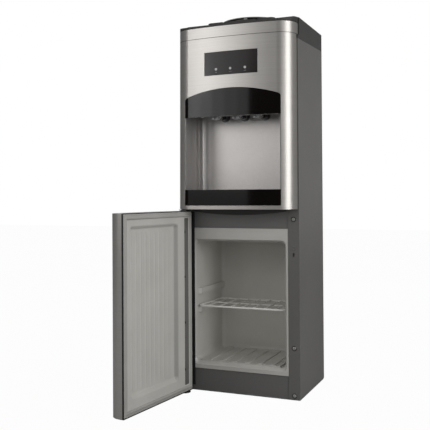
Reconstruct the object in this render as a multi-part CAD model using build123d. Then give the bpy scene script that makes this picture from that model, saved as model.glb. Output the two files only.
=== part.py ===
from build123d import *
import math
import os

# Free-standing water dispenser with a small refrigerator below, in millimetres.
# X runs to the viewer's right, Y to the rear and Z up. The origin is the middle of the cabinet's
# footprint on the floor. The refrigerator door is drawn open, as it stands at rest.

# Cabinet shell
cabinet_width = 310.0
cabinet_depth = 240.0
sheet = 0.8
side_bottom = 3.0
seam_front = 874.0
seam_rear = 883.0
flange_width = 28.0
flange_lip = 10.0
rear_flange_width = 18.0
fit_gap = 0.3
slack = 0.4
overrun = 40.0
base_height = 16.0
base_metal = 1.5
tray_half_width = 80.0
tray_depth = 76.0
kick_top = 57.0
bar_bottom = 413.2
bar_top = 460.0
bar_recess = 1.5
bar_return = 10.0

# Fasteners on the front flanges
flange_screw_heights = (11.0, 125.0)
slot_screw_height = 436.0
slot_size = 7.0
slot_length = 13.0
cap_slot_height = 350.0
cap_slot_width = 4.5
cap_slot_length = 9.0
screw_shank = 2.0
screw_head = 4.2
screw_head_height = 1.3
screw_length = 7.0

# Bowed front, shared by the upper panel, the trim and the door
panel_side_gap = 3.0
panel_half_width = cabinet_width / 2 - panel_side_gap
bow_front = -176.0
bow_radius = 858.0
corner_radius = 43.0
door_corner_radius = 30.0
lean_share = 0.014
lean_level = 500.0
panel_wall = 2.5
panel_bottom = 460.6
panel_seam = 883.7
seam_gap = 0.6
web_setback = 6.0
trim_top = 911.0
trim_back = 12.0

# Recess, hood and display
recess_margin = 27.7
recess_half_width = panel_half_width - recess_margin
recess_bottom = 470.0
recess_top = 689.0
hood_shoulder = 737.0
hood_apex = 757.7
hood_corner = 9.0
hood_wall = 3.5
hood_lip = 12.0
hood_lip_margin = 7.3
hood_lip_half_width = recess_half_width - hood_lip_margin
reveal = 0.35
display_half_width = 69.0
display_bottom = 790.0
display_top = 847.7
display_sink = 0.4
lens_radius = 3.1
lens_pitch = 37.5
lens_height = 804.7
lens_proud = 0.3
lens_bore_gap = 0.1
board_y = -160.0
board_half_width = 56.0
board_bottom = 796.0
board_top = 842.0
board_thickness = 1.6

# Alcove
alcove_margin = 2.1
alcove_half_width = recess_half_width - alcove_margin
alcove_wall = 1.8
alcove_floor = 470.0
alcove_ceiling = 733.0
alcove_back = -62.0
alcove_corner = 25.0
alcove_rim = 1.0

# Taps
tap_pitch = 54.0
tap_height = 697.0
barrel_radius = 9.0
barrel_front = -134.0
rosette_radius = 13.0
rosette_depth = 3.0
shank_radius = 6.5
shank_hole = 6.9
shank_length = 26.0
nozzle_radius = 8.0
nozzle_bore = 5.0
nozzle_y = -126.0
nozzle_bottom = 683.0
ear_radius = 3.2
ear_pitch = 11.0
ear_length = 5.0
nut_radius = 11.5
nut_thickness = 7.0
nut_sides = 6
lever_y = -90.0
lever_thickness = 8.0
lever_half_width = 13.0
lever_bottom = 682.8
lever_top = 720.0
lever_pivot = 714.0
lever_window_low = 686.2
lever_window_high = 707.8
lever_side_gap = 0.7
lever_corner = 2.5
lug_half_width = 4.0
lug_depth = 9.0
lug_top = 718.0
pin_radius = 1.5
pin_play = 0.05

# Drip tray
tray_front_gap = 0.7
tray_front_half_width = recess_half_width - tray_front_gap
tray_front_bottom = 470.9
tray_front_top = 508.8
tray_front_wall = 3.4
tray_body_gap = 3.7
tray_body_half_width = alcove_half_width - tray_body_gap
tray_rear_gap = 3.5
tray_wall = 2.0
tray_rim = 503.0
grille_thickness = 3.0
grille_slots = 21
grille_side = 29.0
grille_slot_pitch = (tray_body_half_width * 2 - grille_side) / (grille_slots - 1)
grille_slot_width = 5.0
grille_margin = 10.0
rib_width = 3.0

# Refrigerator liner
liner_side_gap = 0.4
liner_half_width = cabinet_width / 2 - flange_width - liner_side_gap
liner_bottom = 57.2
liner_top = 412.8
liner_proud = 0.6
liner_rim = 2.4
liner_border = 4.3
opening_half_width = liner_half_width - liner_border
opening_bottom = 67.0
opening_top = 384.5
opening_corner = 12.0
flare_width = 4.3
cavity_half_width = opening_half_width - flare_width
cavity_floor = 74.0
cavity_ceiling = 380.0
cavity_back = 72.0
cavity_corner = 11.0
flare_depth = 7.0
liner_wall = 2.0
platform_side_gap = 15.0
platform_half_width = cavity_half_width - platform_side_gap
platform_front_gap = 2.0
platform_back_gap = 12.0
platform_rise = 3.0
floor_ribs = 6
floor_rib_side = 40.0
floor_rib_pitch = (platform_half_width * 2 - floor_rib_side) / (floor_ribs - 1)
floor_rib_width = 9.0
floor_rib_rise = 2.2
ledge_bottoms = (195.0, 241.6)
ledge_height = 15.0
ledge_reach = 7.0
ledge_front = -98.0
ledge_taper = 6.0

# Wire shelf
shelf_side_gap = 2.5
shelf_half_width = cavity_half_width - shelf_side_gap
shelf_front = -104.0
shelf_back = 50.0
shelf_frame_wire = 2.4
shelf_wire = 1.6
shelf_bars = 7
shelf_side = 51.6
shelf_bar_pitch = (shelf_half_width * 2 - shelf_side) / (shelf_bars - 1)
shelf_corner = 9.0
shelf_cross_shares = (0.5,)

# Evaporator, foam and rear cover
plate_side_gap = 23.0
plate_half_width = cavity_half_width - plate_side_gap
plate_bottom = 150.0
plate_top = 350.0
plate_thickness = 1.5
foam_front = -108.0
foam_top = 455.0
step_height = 168.0
step_y = 92.0
rear_cover_margin = 5.0
rear_cover_half_width = cabinet_width / 2 - rear_cover_margin
rear_cover_top = 882.0
louvre_count = 9
louvre_pitch = 14.0
louvre_start = 660.0
louvre_half_width = 45.0
louvre_height = 5.0
rear_screw_heights = (185.0, 470.0, 690.0, 865.0)
rear_screw_inset = 9.0
rear_screw_x = cabinet_width / 2 - rear_screw_inset

# Water side
shelf_level_low = 462.0
shelf_level_high = 736.2
cold_radius = 62.0
cold_wall = 1.2
cold_bottom = 752.0
cold_top = 890.0
cold_foam_radius = 86.0
cold_foam_floor = 737.4
coil_low = 772.0
coil_high = 850.0
coil_thickness = 4.0
guide_level = 800.0
guide_thickness = 2.0
guide_radius = 60.5
riser_radius = 9.0
riser_bore = 6.5
hot_side_gap = 83.0
hot_x = cabinet_width / 2 - hot_side_gap
hot_y = 40.0
hot_radius = 46.0
hot_wall = 1.5
hot_bottom = 478.0
hot_top = 626.0
jacket_radius = 58.0
heater_offset = 18.0
heater_tube = 4.0
heater_spread = 14.0
heater_low = 500.0
heater_flange = 22.0
heater_flange_height = 4.0
heater_stub = 10.0
thermostat_radius = 8.0
thermostat_height = 8.0
thermostat_spread = 25.0
hose_radius = 5.0
hose_bore = 3.4
hose_bend = 13.0
hose_reach = 26.0
feed_x = 40.0
feed_y = 30.0

# Refrigeration side
comp_half_width = 62.0
comp_y = 146.0
comp_depth = 84.0
comp_bottom = 32.0
comp_top = 150.0
comp_round = 22.0
band_reach = 2.0
band_height = 5.0
foot_reach = 8.0
foot_thickness = 2.5
grommet_radius = 7.0
grommet_x = 58.0
grommet_y_offset = 30.0
condenser_y = 138.0
condenser_half_width = 95.0
condenser_low = 192.0
condenser_pitch = 30.0
condenser_passes = 9
condenser_tube = 2.6
condenser_start = 30.0
stub_height = 3.0
stub_wall = 1.2
wire_radius = 0.9
wire_count = 15
wire_pitch = 12.4
wire_end = 9.0
clip_half_width = 9.0
clip_height = 8.0
drier_inset = 21.0
drier_x = cabinet_width / 2 - drier_inset
drier_radius = 8.0
drier_bottom = 330.0
drier_length = 88.0
line_radius = 2.6
line_bend = 9.0
capillary_drop = 30.0
suction_inset = 27.0
suction_x = cabinet_width / 2 - suction_inset
suction_y = 156.0
suction_top = 205.0
suction_level = 100.0

# Services on the back
drain_x = 72.0
drain_height = 500.0
drain_radius = 8.0
drain_bore = 5.5
drain_length = 18.0
drain_cap_radius = 12.0
drain_cap_length = 10.0
plate_inset = 60.0
plate_x = plate_inset - cabinet_width / 2
plate_height = 590.0
switch_half_width = 24.0
switch_half_height = 17.0
switch_plate_thickness = 2.0
rocker_pitch = 22.0
rocker_half_width = 6.0
rocker_half_height = 10.0
rocker_depth = 9.0
rocker_proud = 3.0
rocker_play = 0.6
rocker_tilt = 8.0
rocker_side_gap = 0.5
socket_wall = 1.5
gland_inset = 35.0
gland_x = gland_inset - cabinet_width / 2
gland_height = 235.0
gland_radius = 9.0
gland_bore = 3.6
gland_length = 16.0
box_half_width = 42.0
box_low = 480.0
box_high = 620.0
box_depth = 46.0

# Top cover and bottle seat
cover_side_front = -107.0
cover_edge = 926.8
cover_plateau = 932.6
cover_inset = 14.0
cover_front_inset = 6.0
cover_wall = 2.5
plinth_half_width = 89.0
plinth_front = -100.0
plinth_corner = 12.0
plinth_top = 936.8
notch_x = 44.0
notch_width = 5.0
notch_depth = 6.0
seat_hole = 70.0
seat_radius = 80.5
seat_top = 948.3
seat_wall = 4.0
seat_cone_top = 76.0
neck_outer = 33.0
neck_bore = 29.5
neck_top = 906.0
neck_bottom = 868.0
seat_slots = 7
seat_slot_turn = 44.0
seat_web_angle = 6.0
seat_slot_low = 942.2
seat_slot_high = 946.2

# Door
door_bottom = 4.0
door_top = 456.0
rim_plane = -124.5
door_skin = 1.0
door_plate = 2.0
door_open = 96.5
hinge_inset = 12.0
hinge_x = hinge_inset - panel_half_width
hinge_y = -142.0
sink_inset = 27.0
sink_hinge_side = 68.0
sink_left = sink_hinge_side - panel_half_width
sink_right = panel_half_width - sink_inset
sink_bottom = 40.0
sink_top = 427.0
sink_depth = 8.0
sink_bevel = 7.0
flute_count = 10
flute_side = 33.5
flute_pitch = (sink_right - sink_left - flute_side) / (flute_count - 1)
flute_width = 6.0
flute_rise = 1.0
channel_inset = 14.5
channel_width = 22.5
channel_left = channel_inset - panel_half_width
channel_right = channel_left + channel_width
channel_bottom = 20.0
channel_top = 440.0
channel_depth = 5.0
gasket_inset = 1.0
gasket_width = 13.0
gasket_taper = 7.5
gasket_height = 2.8
bush_radius = 5.0
bush_length = 14.0
bush_flange = 7.5
bush_flange_height = 0.9
hinge_pin = 3.0
hinge_play = 0.05
leaf_thickness = 2.0
leaf_half_width = 11.0
leaf_low = 0.8
leaf_high = 457.3
leg_height = 24.0
hinge_screw_spread = 12.0

half_width = cabinet_width / 2
front_y = -cabinet_depth / 2
rear_y = cabinet_depth / 2


def block(x0, x1, y0, y1, z0, z1):
    """Box between three pairs of coordinates."""
    return Pos((x0 + x1) / 2, (y0 + y1) / 2, (z0 + z1) / 2) * Box(x1 - x0, y1 - y0, z1 - z0)


def post(radius, x, y, z0, z1):
    """Cylinder along Z."""
    return Pos(x, y, (z0 + z1) / 2) * Cylinder(radius, z1 - z0)


def rod_y(radius, x, z, y0, y1):
    """Cylinder along Y."""
    return Pos(x, (y0 + y1) / 2, z) * Rot(90, 0, 0) * Cylinder(radius, y1 - y0)


def rod_x(radius, y, z, x0, x1):
    """Cylinder along X."""
    return Pos((x0 + x1) / 2, y, z) * Rot(0, 90, 0) * Cylinder(radius, x1 - x0)


def pipe(points, bend, outer, bore):
    """Round tube along straight runs joined by arcs of one radius."""
    path = Polyline(*points) if len(points) < 3 else FilletPolyline(*points, radius=bend)
    start = Plane(origin=path @ 0, z_dir=path % 0)
    solid = sweep(start * Circle(outer), path=path)
    return solid - sweep(start * Circle(bore), path=path) if bore else solid


def prism_y(face, y_front, y_back):
    """Face drawn in X and Z, extruded from y_front back to y_back."""
    return extrude(Plane.XZ.offset(-y_back) * face, amount=y_back - y_front)


def seam_height(y):
    """Height of the sloping seam between side panel and top cover."""
    return seam_front + (seam_rear - seam_front) * (y - front_y) / cabinet_depth


def lean(z):
    """How far back the front leans at a height."""
    return lean_share * (z - lean_level)


def bow_centre(z):
    return bow_front + bow_radius + lean(z)


def front_surface(x, z, inset=0):
    """Y of the bowed front at a place, or of a surface inside it."""
    radius = bow_radius - inset
    return bow_centre(z) - math.sqrt(radius ** 2 - x ** 2)


def front_outline(inset, z, y_back, rounding=corner_radius):
    """Plan of the front at a height: two sides, two corner arcs and the bow."""
    half = panel_half_width - inset
    bow = bow_radius - inset
    corner = rounding - inset
    cy = bow_centre(z)
    cx = half - corner
    corner_y = cy - math.sqrt((bow - corner) ** 2 - cx ** 2)
    ux, uy = cx / (bow - corner), (corner_y - cy) / (bow - corner)
    tx, ty = ux * bow, cy + uy * bow
    length = math.hypot(ux + 1, uy)
    mx, my = cx + corner * (ux + 1) / length, corner_y + corner * uy / length
    edges = [
        Line((half, y_back), (half, corner_y)),
        ThreePointArc((half, corner_y), (mx, my), (tx, ty)),
        ThreePointArc((tx, ty), (0, cy - bow), (-tx, ty)),
        ThreePointArc((-tx, ty), (-mx, my), (-half, corner_y)),
        Line((-half, corner_y), (-half, y_back)),
        Line((-half, y_back), (half, y_back)),
    ]
    return Pos(0, 0, z) * make_face(edges)


def front_volume(inset, z0, z1, y_back):
    """Everything behind the bowed front, set in by a distance, between two heights."""
    return loft([front_outline(inset, z0, y_back), front_outline(inset, z1, y_back)], ruled=True)


def front_skin(outer, inner, z0, z1, y_back):
    """Layer of the bowed front between two depths."""
    cut = front_volume(inner, z0 - overrun, z1 + overrun, y_back + overrun)
    return front_volume(outer, z0, z1, y_back) - cut


def recess_face(grow):
    """Outline of the dispensing recess with its arched top, in X and Z."""
    half = recess_half_width + grow
    low, side, apex = recess_bottom - grow, hood_shoulder + grow, hood_apex + grow
    edges = [
        Line((-half, low), (half, low)),
        Line((half, low), (half, side)),
        ThreePointArc((half, side), (0, apex), (-half, side)),
        Line((-half, side), (-half, low)),
    ]
    face = make_face(edges)
    tops = [v for v in face.vertices() if v.Y > lean_level]
    return fillet(tops, hood_corner + grow)


def side_panel(sign):
    """Folded steel side with its front flange, lip and rear flange."""
    top = seam_rear + overrun
    outer = sign * half_width

    def strip(x0, x1, y0, y1):
        return block(min(x0, x1), max(x0, x1), y0, y1, side_bottom, top)

    body = strip(outer, outer - sign * sheet, front_y, rear_y)
    inner_edge = outer - sign * flange_width
    body += strip(outer, inner_edge, front_y, front_y + sheet)
    lip = strip(inner_edge, inner_edge + sign * sheet, front_y, front_y + flange_lip)
    above_pan = base_height + fit_gap
    body += lip & block(-half_width, half_width, front_y, rear_y, above_pan, top)
    body += strip(outer, outer - sign * rear_flange_width, rear_y - sheet, rear_y)
    line = [(front_y, side_bottom), (rear_y, side_bottom), (rear_y, seam_rear), (front_y, seam_front)]
    profile = Plane.YZ * make_face(Polyline(*line, close=True))
    body &= extrude(profile, amount=half_width + overrun, both=True)
    middle = outer - sign * flange_width / 2
    for z in flange_screw_heights if sign > 0 else ():
        body -= rod_y(screw_shank + fit_gap, middle, z, front_y - sheet, front_y + sheet * 2)
    slot = SlotOverall(slot_length, slot_size)
    body -= prism_y(Pos(middle, slot_screw_height) * slot, front_y - sheet, front_y + sheet * 2)
    cap = Rot(0, 0, 90) * SlotOverall(cap_slot_length, cap_slot_width)
    body -= prism_y(Pos(middle, cap_slot_height) * cap, front_y - sheet, front_y + sheet * 2)
    for z in rear_screw_heights:
        body -= rod_y(screw_shank + fit_gap, sign * rear_screw_x, z, rear_y - sheet * 2, rear_y + sheet)
    if sign < 0:
        for z in hinge_screw_heights():
            body -= rod_y(screw_shank + fit_gap, hinge_x, z, front_y - sheet, front_y + sheet * 2)
    return body


def base_pan():
    """Pressed pan, open below, with a tray behind it for the compressor."""
    half = half_width - sheet - fit_gap
    front, back = front_y + bar_recess + sheet + fit_gap, rear_y - sheet - fit_gap

    def plan(inset, low, high):
        main = block(-half + inset, half - inset, front + inset, back - inset, low, high)
        wide = tray_half_width - inset
        return main + block(-wide, wide, front + inset, rear_y + tray_depth - inset, low, high)

    pan = plan(0, 0, base_height) - plan(base_metal, -overrun, base_height - base_metal)
    middle = half_width - flange_width / 2
    return pan - rod_y(screw_shank + fit_gap, middle, flange_screw_heights[0],
                       front - base_metal, front + base_metal * 2)


def kick_plate():
    """Plate under the refrigerator opening, folded back at its top."""
    half = half_width - flange_width - fit_gap
    face_y = front_y + bar_recess
    plate = block(-half, half, face_y, face_y + sheet, side_bottom, kick_top)
    fold = block(-half, half, face_y, face_y + flange_lip, kick_top - sheet, kick_top)
    return plate + fold


def cross_bar():
    """Bar between the two compartments, a channel open to the rear."""
    half = half_width - flange_width - fit_gap
    face_y = front_y + bar_recess
    bar = block(-half, half, face_y, face_y + sheet, bar_bottom, bar_top)
    bar += block(-half, half, face_y, face_y + bar_return, bar_bottom, bar_bottom + sheet)
    bar += block(-half, half, face_y, face_y + bar_return, bar_top - sheet, bar_top)
    return bar


def rear_cover():
    """Louvred back sheet that steps in over the compressor."""
    out_y = rear_y + fit_gap
    half = rear_cover_half_width
    low_half = half_width - rear_flange_width - fit_gap
    cover = block(-half, half, out_y, out_y + sheet, step_height, rear_cover_top)
    cover += block(-low_half, low_half, step_y + fit_gap, out_y + sheet, step_height, step_height + sheet)
    cover += block(-low_half, low_half, step_y + fit_gap, step_y + fit_gap + sheet,
                   base_height + fit_gap, step_height + sheet)
    cuts = []
    for sign in (-1, 1):
        for i in range(louvre_count):
            z = louvre_start + i * louvre_pitch
            x = sign * (louvre_half_width + louvre_pitch)
            cuts.append(block(x - louvre_half_width, x + louvre_half_width,
                              out_y - sheet, out_y + sheet * 2, z, z + louvre_height))
    cuts.append(rod_y(drain_radius + slack, drain_x, drain_height, out_y - sheet, out_y + sheet * 2))
    cuts.append(rod_y(gland_radius + fit_gap, gland_x, gland_height, out_y - sheet, out_y + sheet * 2))
    socket = switch_half_width - socket_wall * 2
    cuts.append(block(plate_x - socket - slack, plate_x + socket + slack, out_y - sheet, out_y + sheet * 2,
                      plate_height - switch_half_height + socket_wall * 2 - slack,
                      plate_height + switch_half_height - socket_wall * 2 + slack))
    for sign in (-1, 1):
        for z in rear_screw_heights:
            cuts.append(rod_y(screw_shank + fit_gap, sign * rear_screw_x, z,
                              out_y - sheet, out_y + sheet * 2))
    return cover - cuts


def tank_shelves():
    """Two sheet shelves across the cabinet that carry the tanks."""
    half = half_width - sheet - fit_gap
    low = block(-half, half, front_y + sheet + fit_gap + flange_lip, rear_y - sheet - fit_gap,
                shelf_level_low, shelf_level_low + sheet)
    back = alcove_back + alcove_wall + fit_gap
    high = block(-half, half, back, rear_y - sheet - fit_gap, shelf_level_high, shelf_level_high + sheet)
    holes = [post(hose_radius + slack, x, y, shelf_level_high - sheet, shelf_level_high + sheet * 2)
             for x, y in hose_rises()]
    return Compound(children=[low, high - holes])


def hose_rises():
    """Places where water lines pass up into the cold tank."""
    rear = alcove_back + shank_length + hose_reach
    return [(-tap_pitch, rear), (0, rear), (feed_x, feed_y)]


def front_panel():
    """Bowed silver front with the recess and the display opening."""
    panel = front_skin(0, panel_wall, panel_bottom, panel_seam, front_y - fit_gap)
    web_back = front_y - web_setback
    panel += front_volume(panel_wall / 2, panel_bottom, panel_bottom + panel_wall, web_back)
    panel -= prism_y(recess_face(0), bow_front - overrun, front_y - overrun / 4)
    window = Pos(0, (display_bottom + display_top) / 2) * Rectangle(
        display_half_width * 2, display_top - display_bottom)
    return panel - prism_y(window, bow_front - overrun, front_y)


def front_trim():
    """Silver strip above the seam."""
    return front_skin(0, panel_wall, panel_seam + seam_gap, trim_top, front_y + trim_back)


def display_window():
    """Dark window, flush with the front."""
    half = display_half_width - fit_gap
    low, high = display_bottom + fit_gap, display_top - fit_gap
    skin = front_skin(display_sink, panel_wall, low, high, front_y)
    window = skin & block(-half, half, bow_front - overrun, front_y, low, high)
    for i in (-1, 0, 1):
        bore = lens_radius + lens_bore_gap
        window -= rod_y(bore, i * lens_pitch, lens_height, bow_front - overrun, front_y)
    return window


def indicator_lenses():
    """Three round light pipes between the board and the window."""
    lenses = []
    for i in (-1, 0, 1):
        x = i * lens_pitch
        face = front_surface(x, lens_height) - lens_proud + display_sink
        lens = rod_y(lens_radius, x, lens_height, face, board_y - fit_gap / 2)
        lenses.append(lens)
    return Compound(children=lenses)


def indicator_board():
    """Circuit board of the three lights."""
    return block(-board_half_width, board_half_width, board_y, board_y + board_thickness,
                 board_bottom, board_top)


def tap_hood():
    """Glossy hood with an arched top, and a lip folded back at its lower edge."""
    top = hood_apex + overrun
    skin = front_skin(0, hood_wall, recess_top, top, front_y)
    hood = skin & prism_y(recess_face(-reveal), bow_front - overrun, front_y - overrun / 4)
    lip = front_skin(hood_wall / 2, hood_lip, recess_top, recess_top + hood_wall / 2, front_y)
    half = hood_lip_half_width
    return hood + (lip & block(-half, half, bow_front, front_y - overrun / 2, recess_top,
                               recess_top + hood_wall))


def alcove_box(grow):
    """Inside of the alcove, grown by a wall."""
    half = alcove_half_width + grow
    shape = block(-half, half, bow_front - overrun, alcove_back + grow, alcove_floor - grow,
                  alcove_ceiling + grow)
    rear = shape.edges().filter_by(Axis.Z).group_by(Axis.Y)[-1]
    return fillet(rear, alcove_corner + grow)


def alcove():
    """Moulded recess. Its rim shows in the open part and stops behind the hood and the tray."""
    shell = alcove_box(alcove_wall) - alcove_box(0)
    low, high = alcove_floor - overrun, alcove_ceiling + overrun
    back = alcove_back + overrun
    keep = front_volume(hood_wall + fit_gap, low, high, back)
    open_low, open_high = tray_front_top + fit_gap, recess_top - fit_gap
    shown = front_volume(alcove_rim, open_low, open_high, back)
    body = (shell & keep) + (shell & shown)
    holes = [rod_y(shank_hole, x, tap_height, alcove_back - overrun / 2, alcove_back + overrun / 2)
             for x in tap_places()]
    return body - holes


def tap_places():
    return [-tap_pitch, 0, tap_pitch]


def tap_body(x):
    """Tap: barrel, rosette, threaded shank, nozzle with two ears, and the lug of its lever."""
    wall = alcove_back - fit_gap / 2
    tap = rod_y(barrel_radius, x, tap_height, barrel_front, wall)
    tap += rod_y(rosette_radius, x, tap_height, wall - rosette_depth, wall)
    tap += rod_y(shank_radius, x, tap_height, wall, alcove_back + shank_length)
    tap += post(nozzle_radius, x, nozzle_y, nozzle_bottom, tap_height)
    for sign in (-1, 1):
        tap += rod_y(ear_radius, x + sign * ear_pitch / 2, tap_height - barrel_radius,
                     barrel_front - ear_length, barrel_front + ear_length)
    lug_low, lug_high = tap_height, lug_top
    tap += block(x - lug_half_width, x + lug_half_width, lever_y - lug_depth / 2,
                 lever_y + lug_depth / 2, lug_low, lug_high)
    tap -= post(nozzle_bore, x, nozzle_y, nozzle_bottom - overrun, tap_height)
    tap -= rod_y(hose_bore, x, tap_height, nozzle_y, alcove_back + overrun)
    half = lever_half_width * 2
    return tap - rod_x(pin_radius + pin_play, lever_y, lever_pivot, x - half, x + half)


def tap_nuts():
    """Hexagon nuts on the three shanks, behind the alcove."""
    start = alcove_back + alcove_wall + fit_gap / 2
    nuts = []
    for x in tap_places():
        face = RegularPolygon(nut_radius, nut_sides) - Circle(shank_radius + pin_play)
        nuts.append(prism_y(Pos(x, tap_height) * face, start, start + nut_thickness))
    return Compound(children=nuts)


def tap_lever(x):
    """Yoke round the barrel, pushed back by a cup, with its pin."""
    front, back = lever_y - lever_thickness / 2, lever_y + lever_thickness / 2
    half = lever_half_width
    yoke = block(x - half, x + half, front, back, lever_bottom, lever_top)
    yoke = fillet(yoke.edges().filter_by(Axis.Y), lever_corner)
    window = barrel_radius + lever_side_gap
    slot = lug_half_width + slack
    yoke -= block(x - window, x + window, front, back, lever_window_low, lever_window_high)
    yoke -= block(x - slot, x + slot, front, back, lever_window_high, lever_top)
    reach = half - pin_radius
    return yoke + rod_x(pin_radius, lever_y, lever_pivot, x - reach, x + reach)


def drip_tray_front():
    """Glossy band that closes the recess below and fronts the drip tray."""
    skin = front_skin(0, tray_front_wall, tray_front_bottom, tray_front_top, front_y)
    half = tray_front_half_width
    return skin & block(-half, half, bow_front - overrun, front_y - overrun / 2,
                        tray_front_bottom, tray_front_top)


def round_rear(shape, radius):
    """Rounds the two upright edges at the rear."""
    return fillet(shape.edges().filter_by(Axis.Z).group_by(Axis.Y)[-1], radius)


def drip_tray():
    """Open pan behind the band."""
    low = alcove_floor + slack
    back = alcove_back - tray_rear_gap

    def pan(inset, bottom, top):
        half = tray_body_half_width - inset
        space = front_volume(tray_front_wall + fit_gap / 3 + inset, bottom - overrun, top + overrun, back)
        box = block(-half, half, bow_front, back - inset, bottom, top)
        return space & round_rear(box, alcove_corner - tray_rear_gap - inset)

    return pan(0, low, tray_rim) - pan(tray_wall, low + tray_wall, tray_rim + overrun)


def drip_grille():
    """Slotted plate on the tray's rim."""
    back = alcove_back - tray_rear_gap
    low = tray_rim + fit_gap
    half = tray_body_half_width - fit_gap
    space = front_volume(tray_front_wall + slack, low - overrun, low + overrun, back)
    box = block(-half, half, bow_front, back - fit_gap, low, low + grille_thickness)
    plate = space & round_rear(box, alcove_corner - tray_rear_gap)
    start = -grille_slot_pitch * (grille_slots - 1) / 2
    middle = (bow_front + back) / 2
    cuts = []
    for i in range(grille_slots):
        x = start + i * grille_slot_pitch
        w = grille_slot_width / 2
        front = front_surface(x, low) + hood_lip + grille_margin
        cuts.append(block(x - w, x + w, front, middle - rib_width / 2, low, low + grille_thickness))
        cuts.append(block(x - w, x + w, middle + rib_width / 2, back - grille_margin, low,
                          low + grille_thickness))
    return plate - cuts


def rounded_box(half, low, high, y0, y1, corner):
    """Box along Y with rounded long edges, centred on X."""
    face = Pos(0, (low + high) / 2) * RectangleRounded(half * 2, high - low, corner)
    return prism_y(face, y0, y1)


def liner_space(grow):
    """The refrigerator's cavity, grown by a wall."""
    space = rounded_box(cavity_half_width + grow, cavity_floor - grow, cavity_ceiling + grow,
                        front_y + flare_depth, cavity_back + grow, cavity_corner + grow)
    back = space.faces().sort_by(Axis.Y)[-1]
    return fillet(back.edges(), cavity_corner + grow - liner_wall / 2)


def liner_ledges():
    """Two pairs of ledges on the side walls, tapered at the front."""
    ledges = []
    for bottom in ledge_bottoms:
        for sign in (-1, 1):
            wall, tip = sign * (cavity_half_width + liner_wall / 2), sign * (cavity_half_width - ledge_reach)
            points = [(wall, ledge_front), (tip, ledge_front + ledge_taper),
                      (tip, cavity_back + liner_wall / 2), (wall, cavity_back + liner_wall / 2)]
            face = Pos(0, 0, bottom) * make_face(Polyline(*points, close=True))
            ledges.append(extrude(face, amount=ledge_height, dir=(0, 0, 1)))
    return ledges


def liner_floor():
    """Raised platform on the cavity's floor with ribs running front to back."""
    y0 = front_y + flare_depth + platform_front_gap
    y1 = cavity_back - platform_back_gap
    sunk = cavity_floor - liner_wall / 2
    top = cavity_floor + platform_rise
    pieces = [block(-platform_half_width, platform_half_width, y0, y1, sunk, top)]
    for i in range(floor_ribs):
        x = (i - (floor_ribs - 1) / 2) * floor_rib_pitch
        w = floor_rib_width / 2
        pieces.append(block(x - w, x + w, y0 + floor_rib_rise, y1 - floor_rib_rise, sunk,
                            top + floor_rib_rise))
    return pieces


def cabinet_liner():
    """Moulded refrigerator liner with its front rim, flared mouth, ledges and ribbed floor."""
    face_y = front_y - liner_proud
    back_y = face_y + liner_rim
    rim = block(-liner_half_width, liner_half_width, face_y, back_y, liner_bottom, liner_top)
    mouth_z = (opening_bottom + opening_top) / 2
    cavity_z = (cavity_floor + cavity_ceiling) / 2
    mouth = Pos(0, mouth_z) * RectangleRounded(
        opening_half_width * 2, opening_top - opening_bottom, opening_corner)
    throat = Pos(0, cavity_z) * RectangleRounded(
        cavity_half_width * 2, cavity_ceiling - cavity_floor, cavity_corner)

    def funnel(grow):
        big = offset(mouth, grow, kind=Kind.INTERSECTION) if grow else mouth
        small = offset(throat, grow, kind=Kind.INTERSECTION) if grow else throat
        throat_y = front_y + flare_depth
        return loft([Plane.XZ.offset(-face_y) * big, Plane.XZ.offset(-throat_y) * small], ruled=True)

    outer = rim + funnel(liner_wall) + liner_space(liner_wall)
    liner = outer - funnel(0) - liner_space(0)
    for piece in liner_floor() + liner_ledges():
        liner += piece
    return liner


def wire_shelf():
    """White wire shelf: a bent frame, long wires and cross wires, welded."""
    z = ledge_bottoms[0] + ledge_height + fit_gap + shelf_frame_wire
    x = shelf_half_width - shelf_frame_wire
    y0, y1 = shelf_front, shelf_back
    frame_path = Pos(0, (y0 + y1) / 2, z) * RectangleRounded(x * 2, y1 - y0, shelf_corner)
    loop = frame_path.face().outer_wire()
    start = Plane(origin=loop @ 0, z_dir=loop % 0)
    shelf = sweep(start * Circle(shelf_frame_wire), path=loop)
    long_z = z + shelf_frame_wire - shelf_wire
    for i in range(shelf_bars):
        bar_x = (i - (shelf_bars - 1) / 2) * shelf_bar_pitch
        shelf += rod_y(shelf_wire, bar_x, long_z, y0, y1)
    for share in shelf_cross_shares:
        cross_z = z - shelf_frame_wire + shelf_wire
        shelf += rod_x(shelf_wire, y0 + (y1 - y0) * share, cross_z, -x, x)
    return shelf


def evaporator_plate():
    """Roll-bonded plate behind the liner's back wall."""
    y = cavity_back + liner_wall + fit_gap / 2
    return block(-plate_half_width, plate_half_width, y, y + plate_thickness, plate_bottom, plate_top)


def liner_foam():
    """Insulation round the liner, stepped in above the compressor."""
    half = half_width - sheet - fit_gap
    low = base_height + fit_gap
    foam = block(-half, half, foam_front, step_y, low, foam_top)
    foam += block(-half, half, foam_front, rear_y - sheet - fit_gap, step_height + sheet + fit_gap, foam_top)
    grow = liner_wall + fit_gap
    space = rounded_box(cavity_half_width + grow, cavity_floor - grow, cavity_ceiling + grow,
                        front_y, cavity_back + grow, cavity_corner)
    foam -= space
    y = cavity_back + liner_wall
    foam -= block(-plate_half_width - fit_gap, plate_half_width + fit_gap, y,
                  y + plate_thickness + fit_gap * 2, plate_bottom - fit_gap, plate_top + fit_gap)
    back = rear_y + sheet * 2
    for sign in (-1, 1):
        foam -= [rod_y(screw_shank + fit_gap, sign * rear_screw_x, z, back - screw_length * 2, back)
                 for z in rear_screw_heights]
    return foam


def cold_tank():
    """Open steel tank under the bottle."""
    return (post(cold_radius, 0, 0, cold_bottom, cold_top)
            - post(cold_radius - cold_wall, 0, 0, cold_bottom + cold_wall, cold_top + overrun)
            - [post(hose_bore, x, y, cold_bottom - overrun, cold_bottom + overrun) for x, y in hose_rises()])


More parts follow.
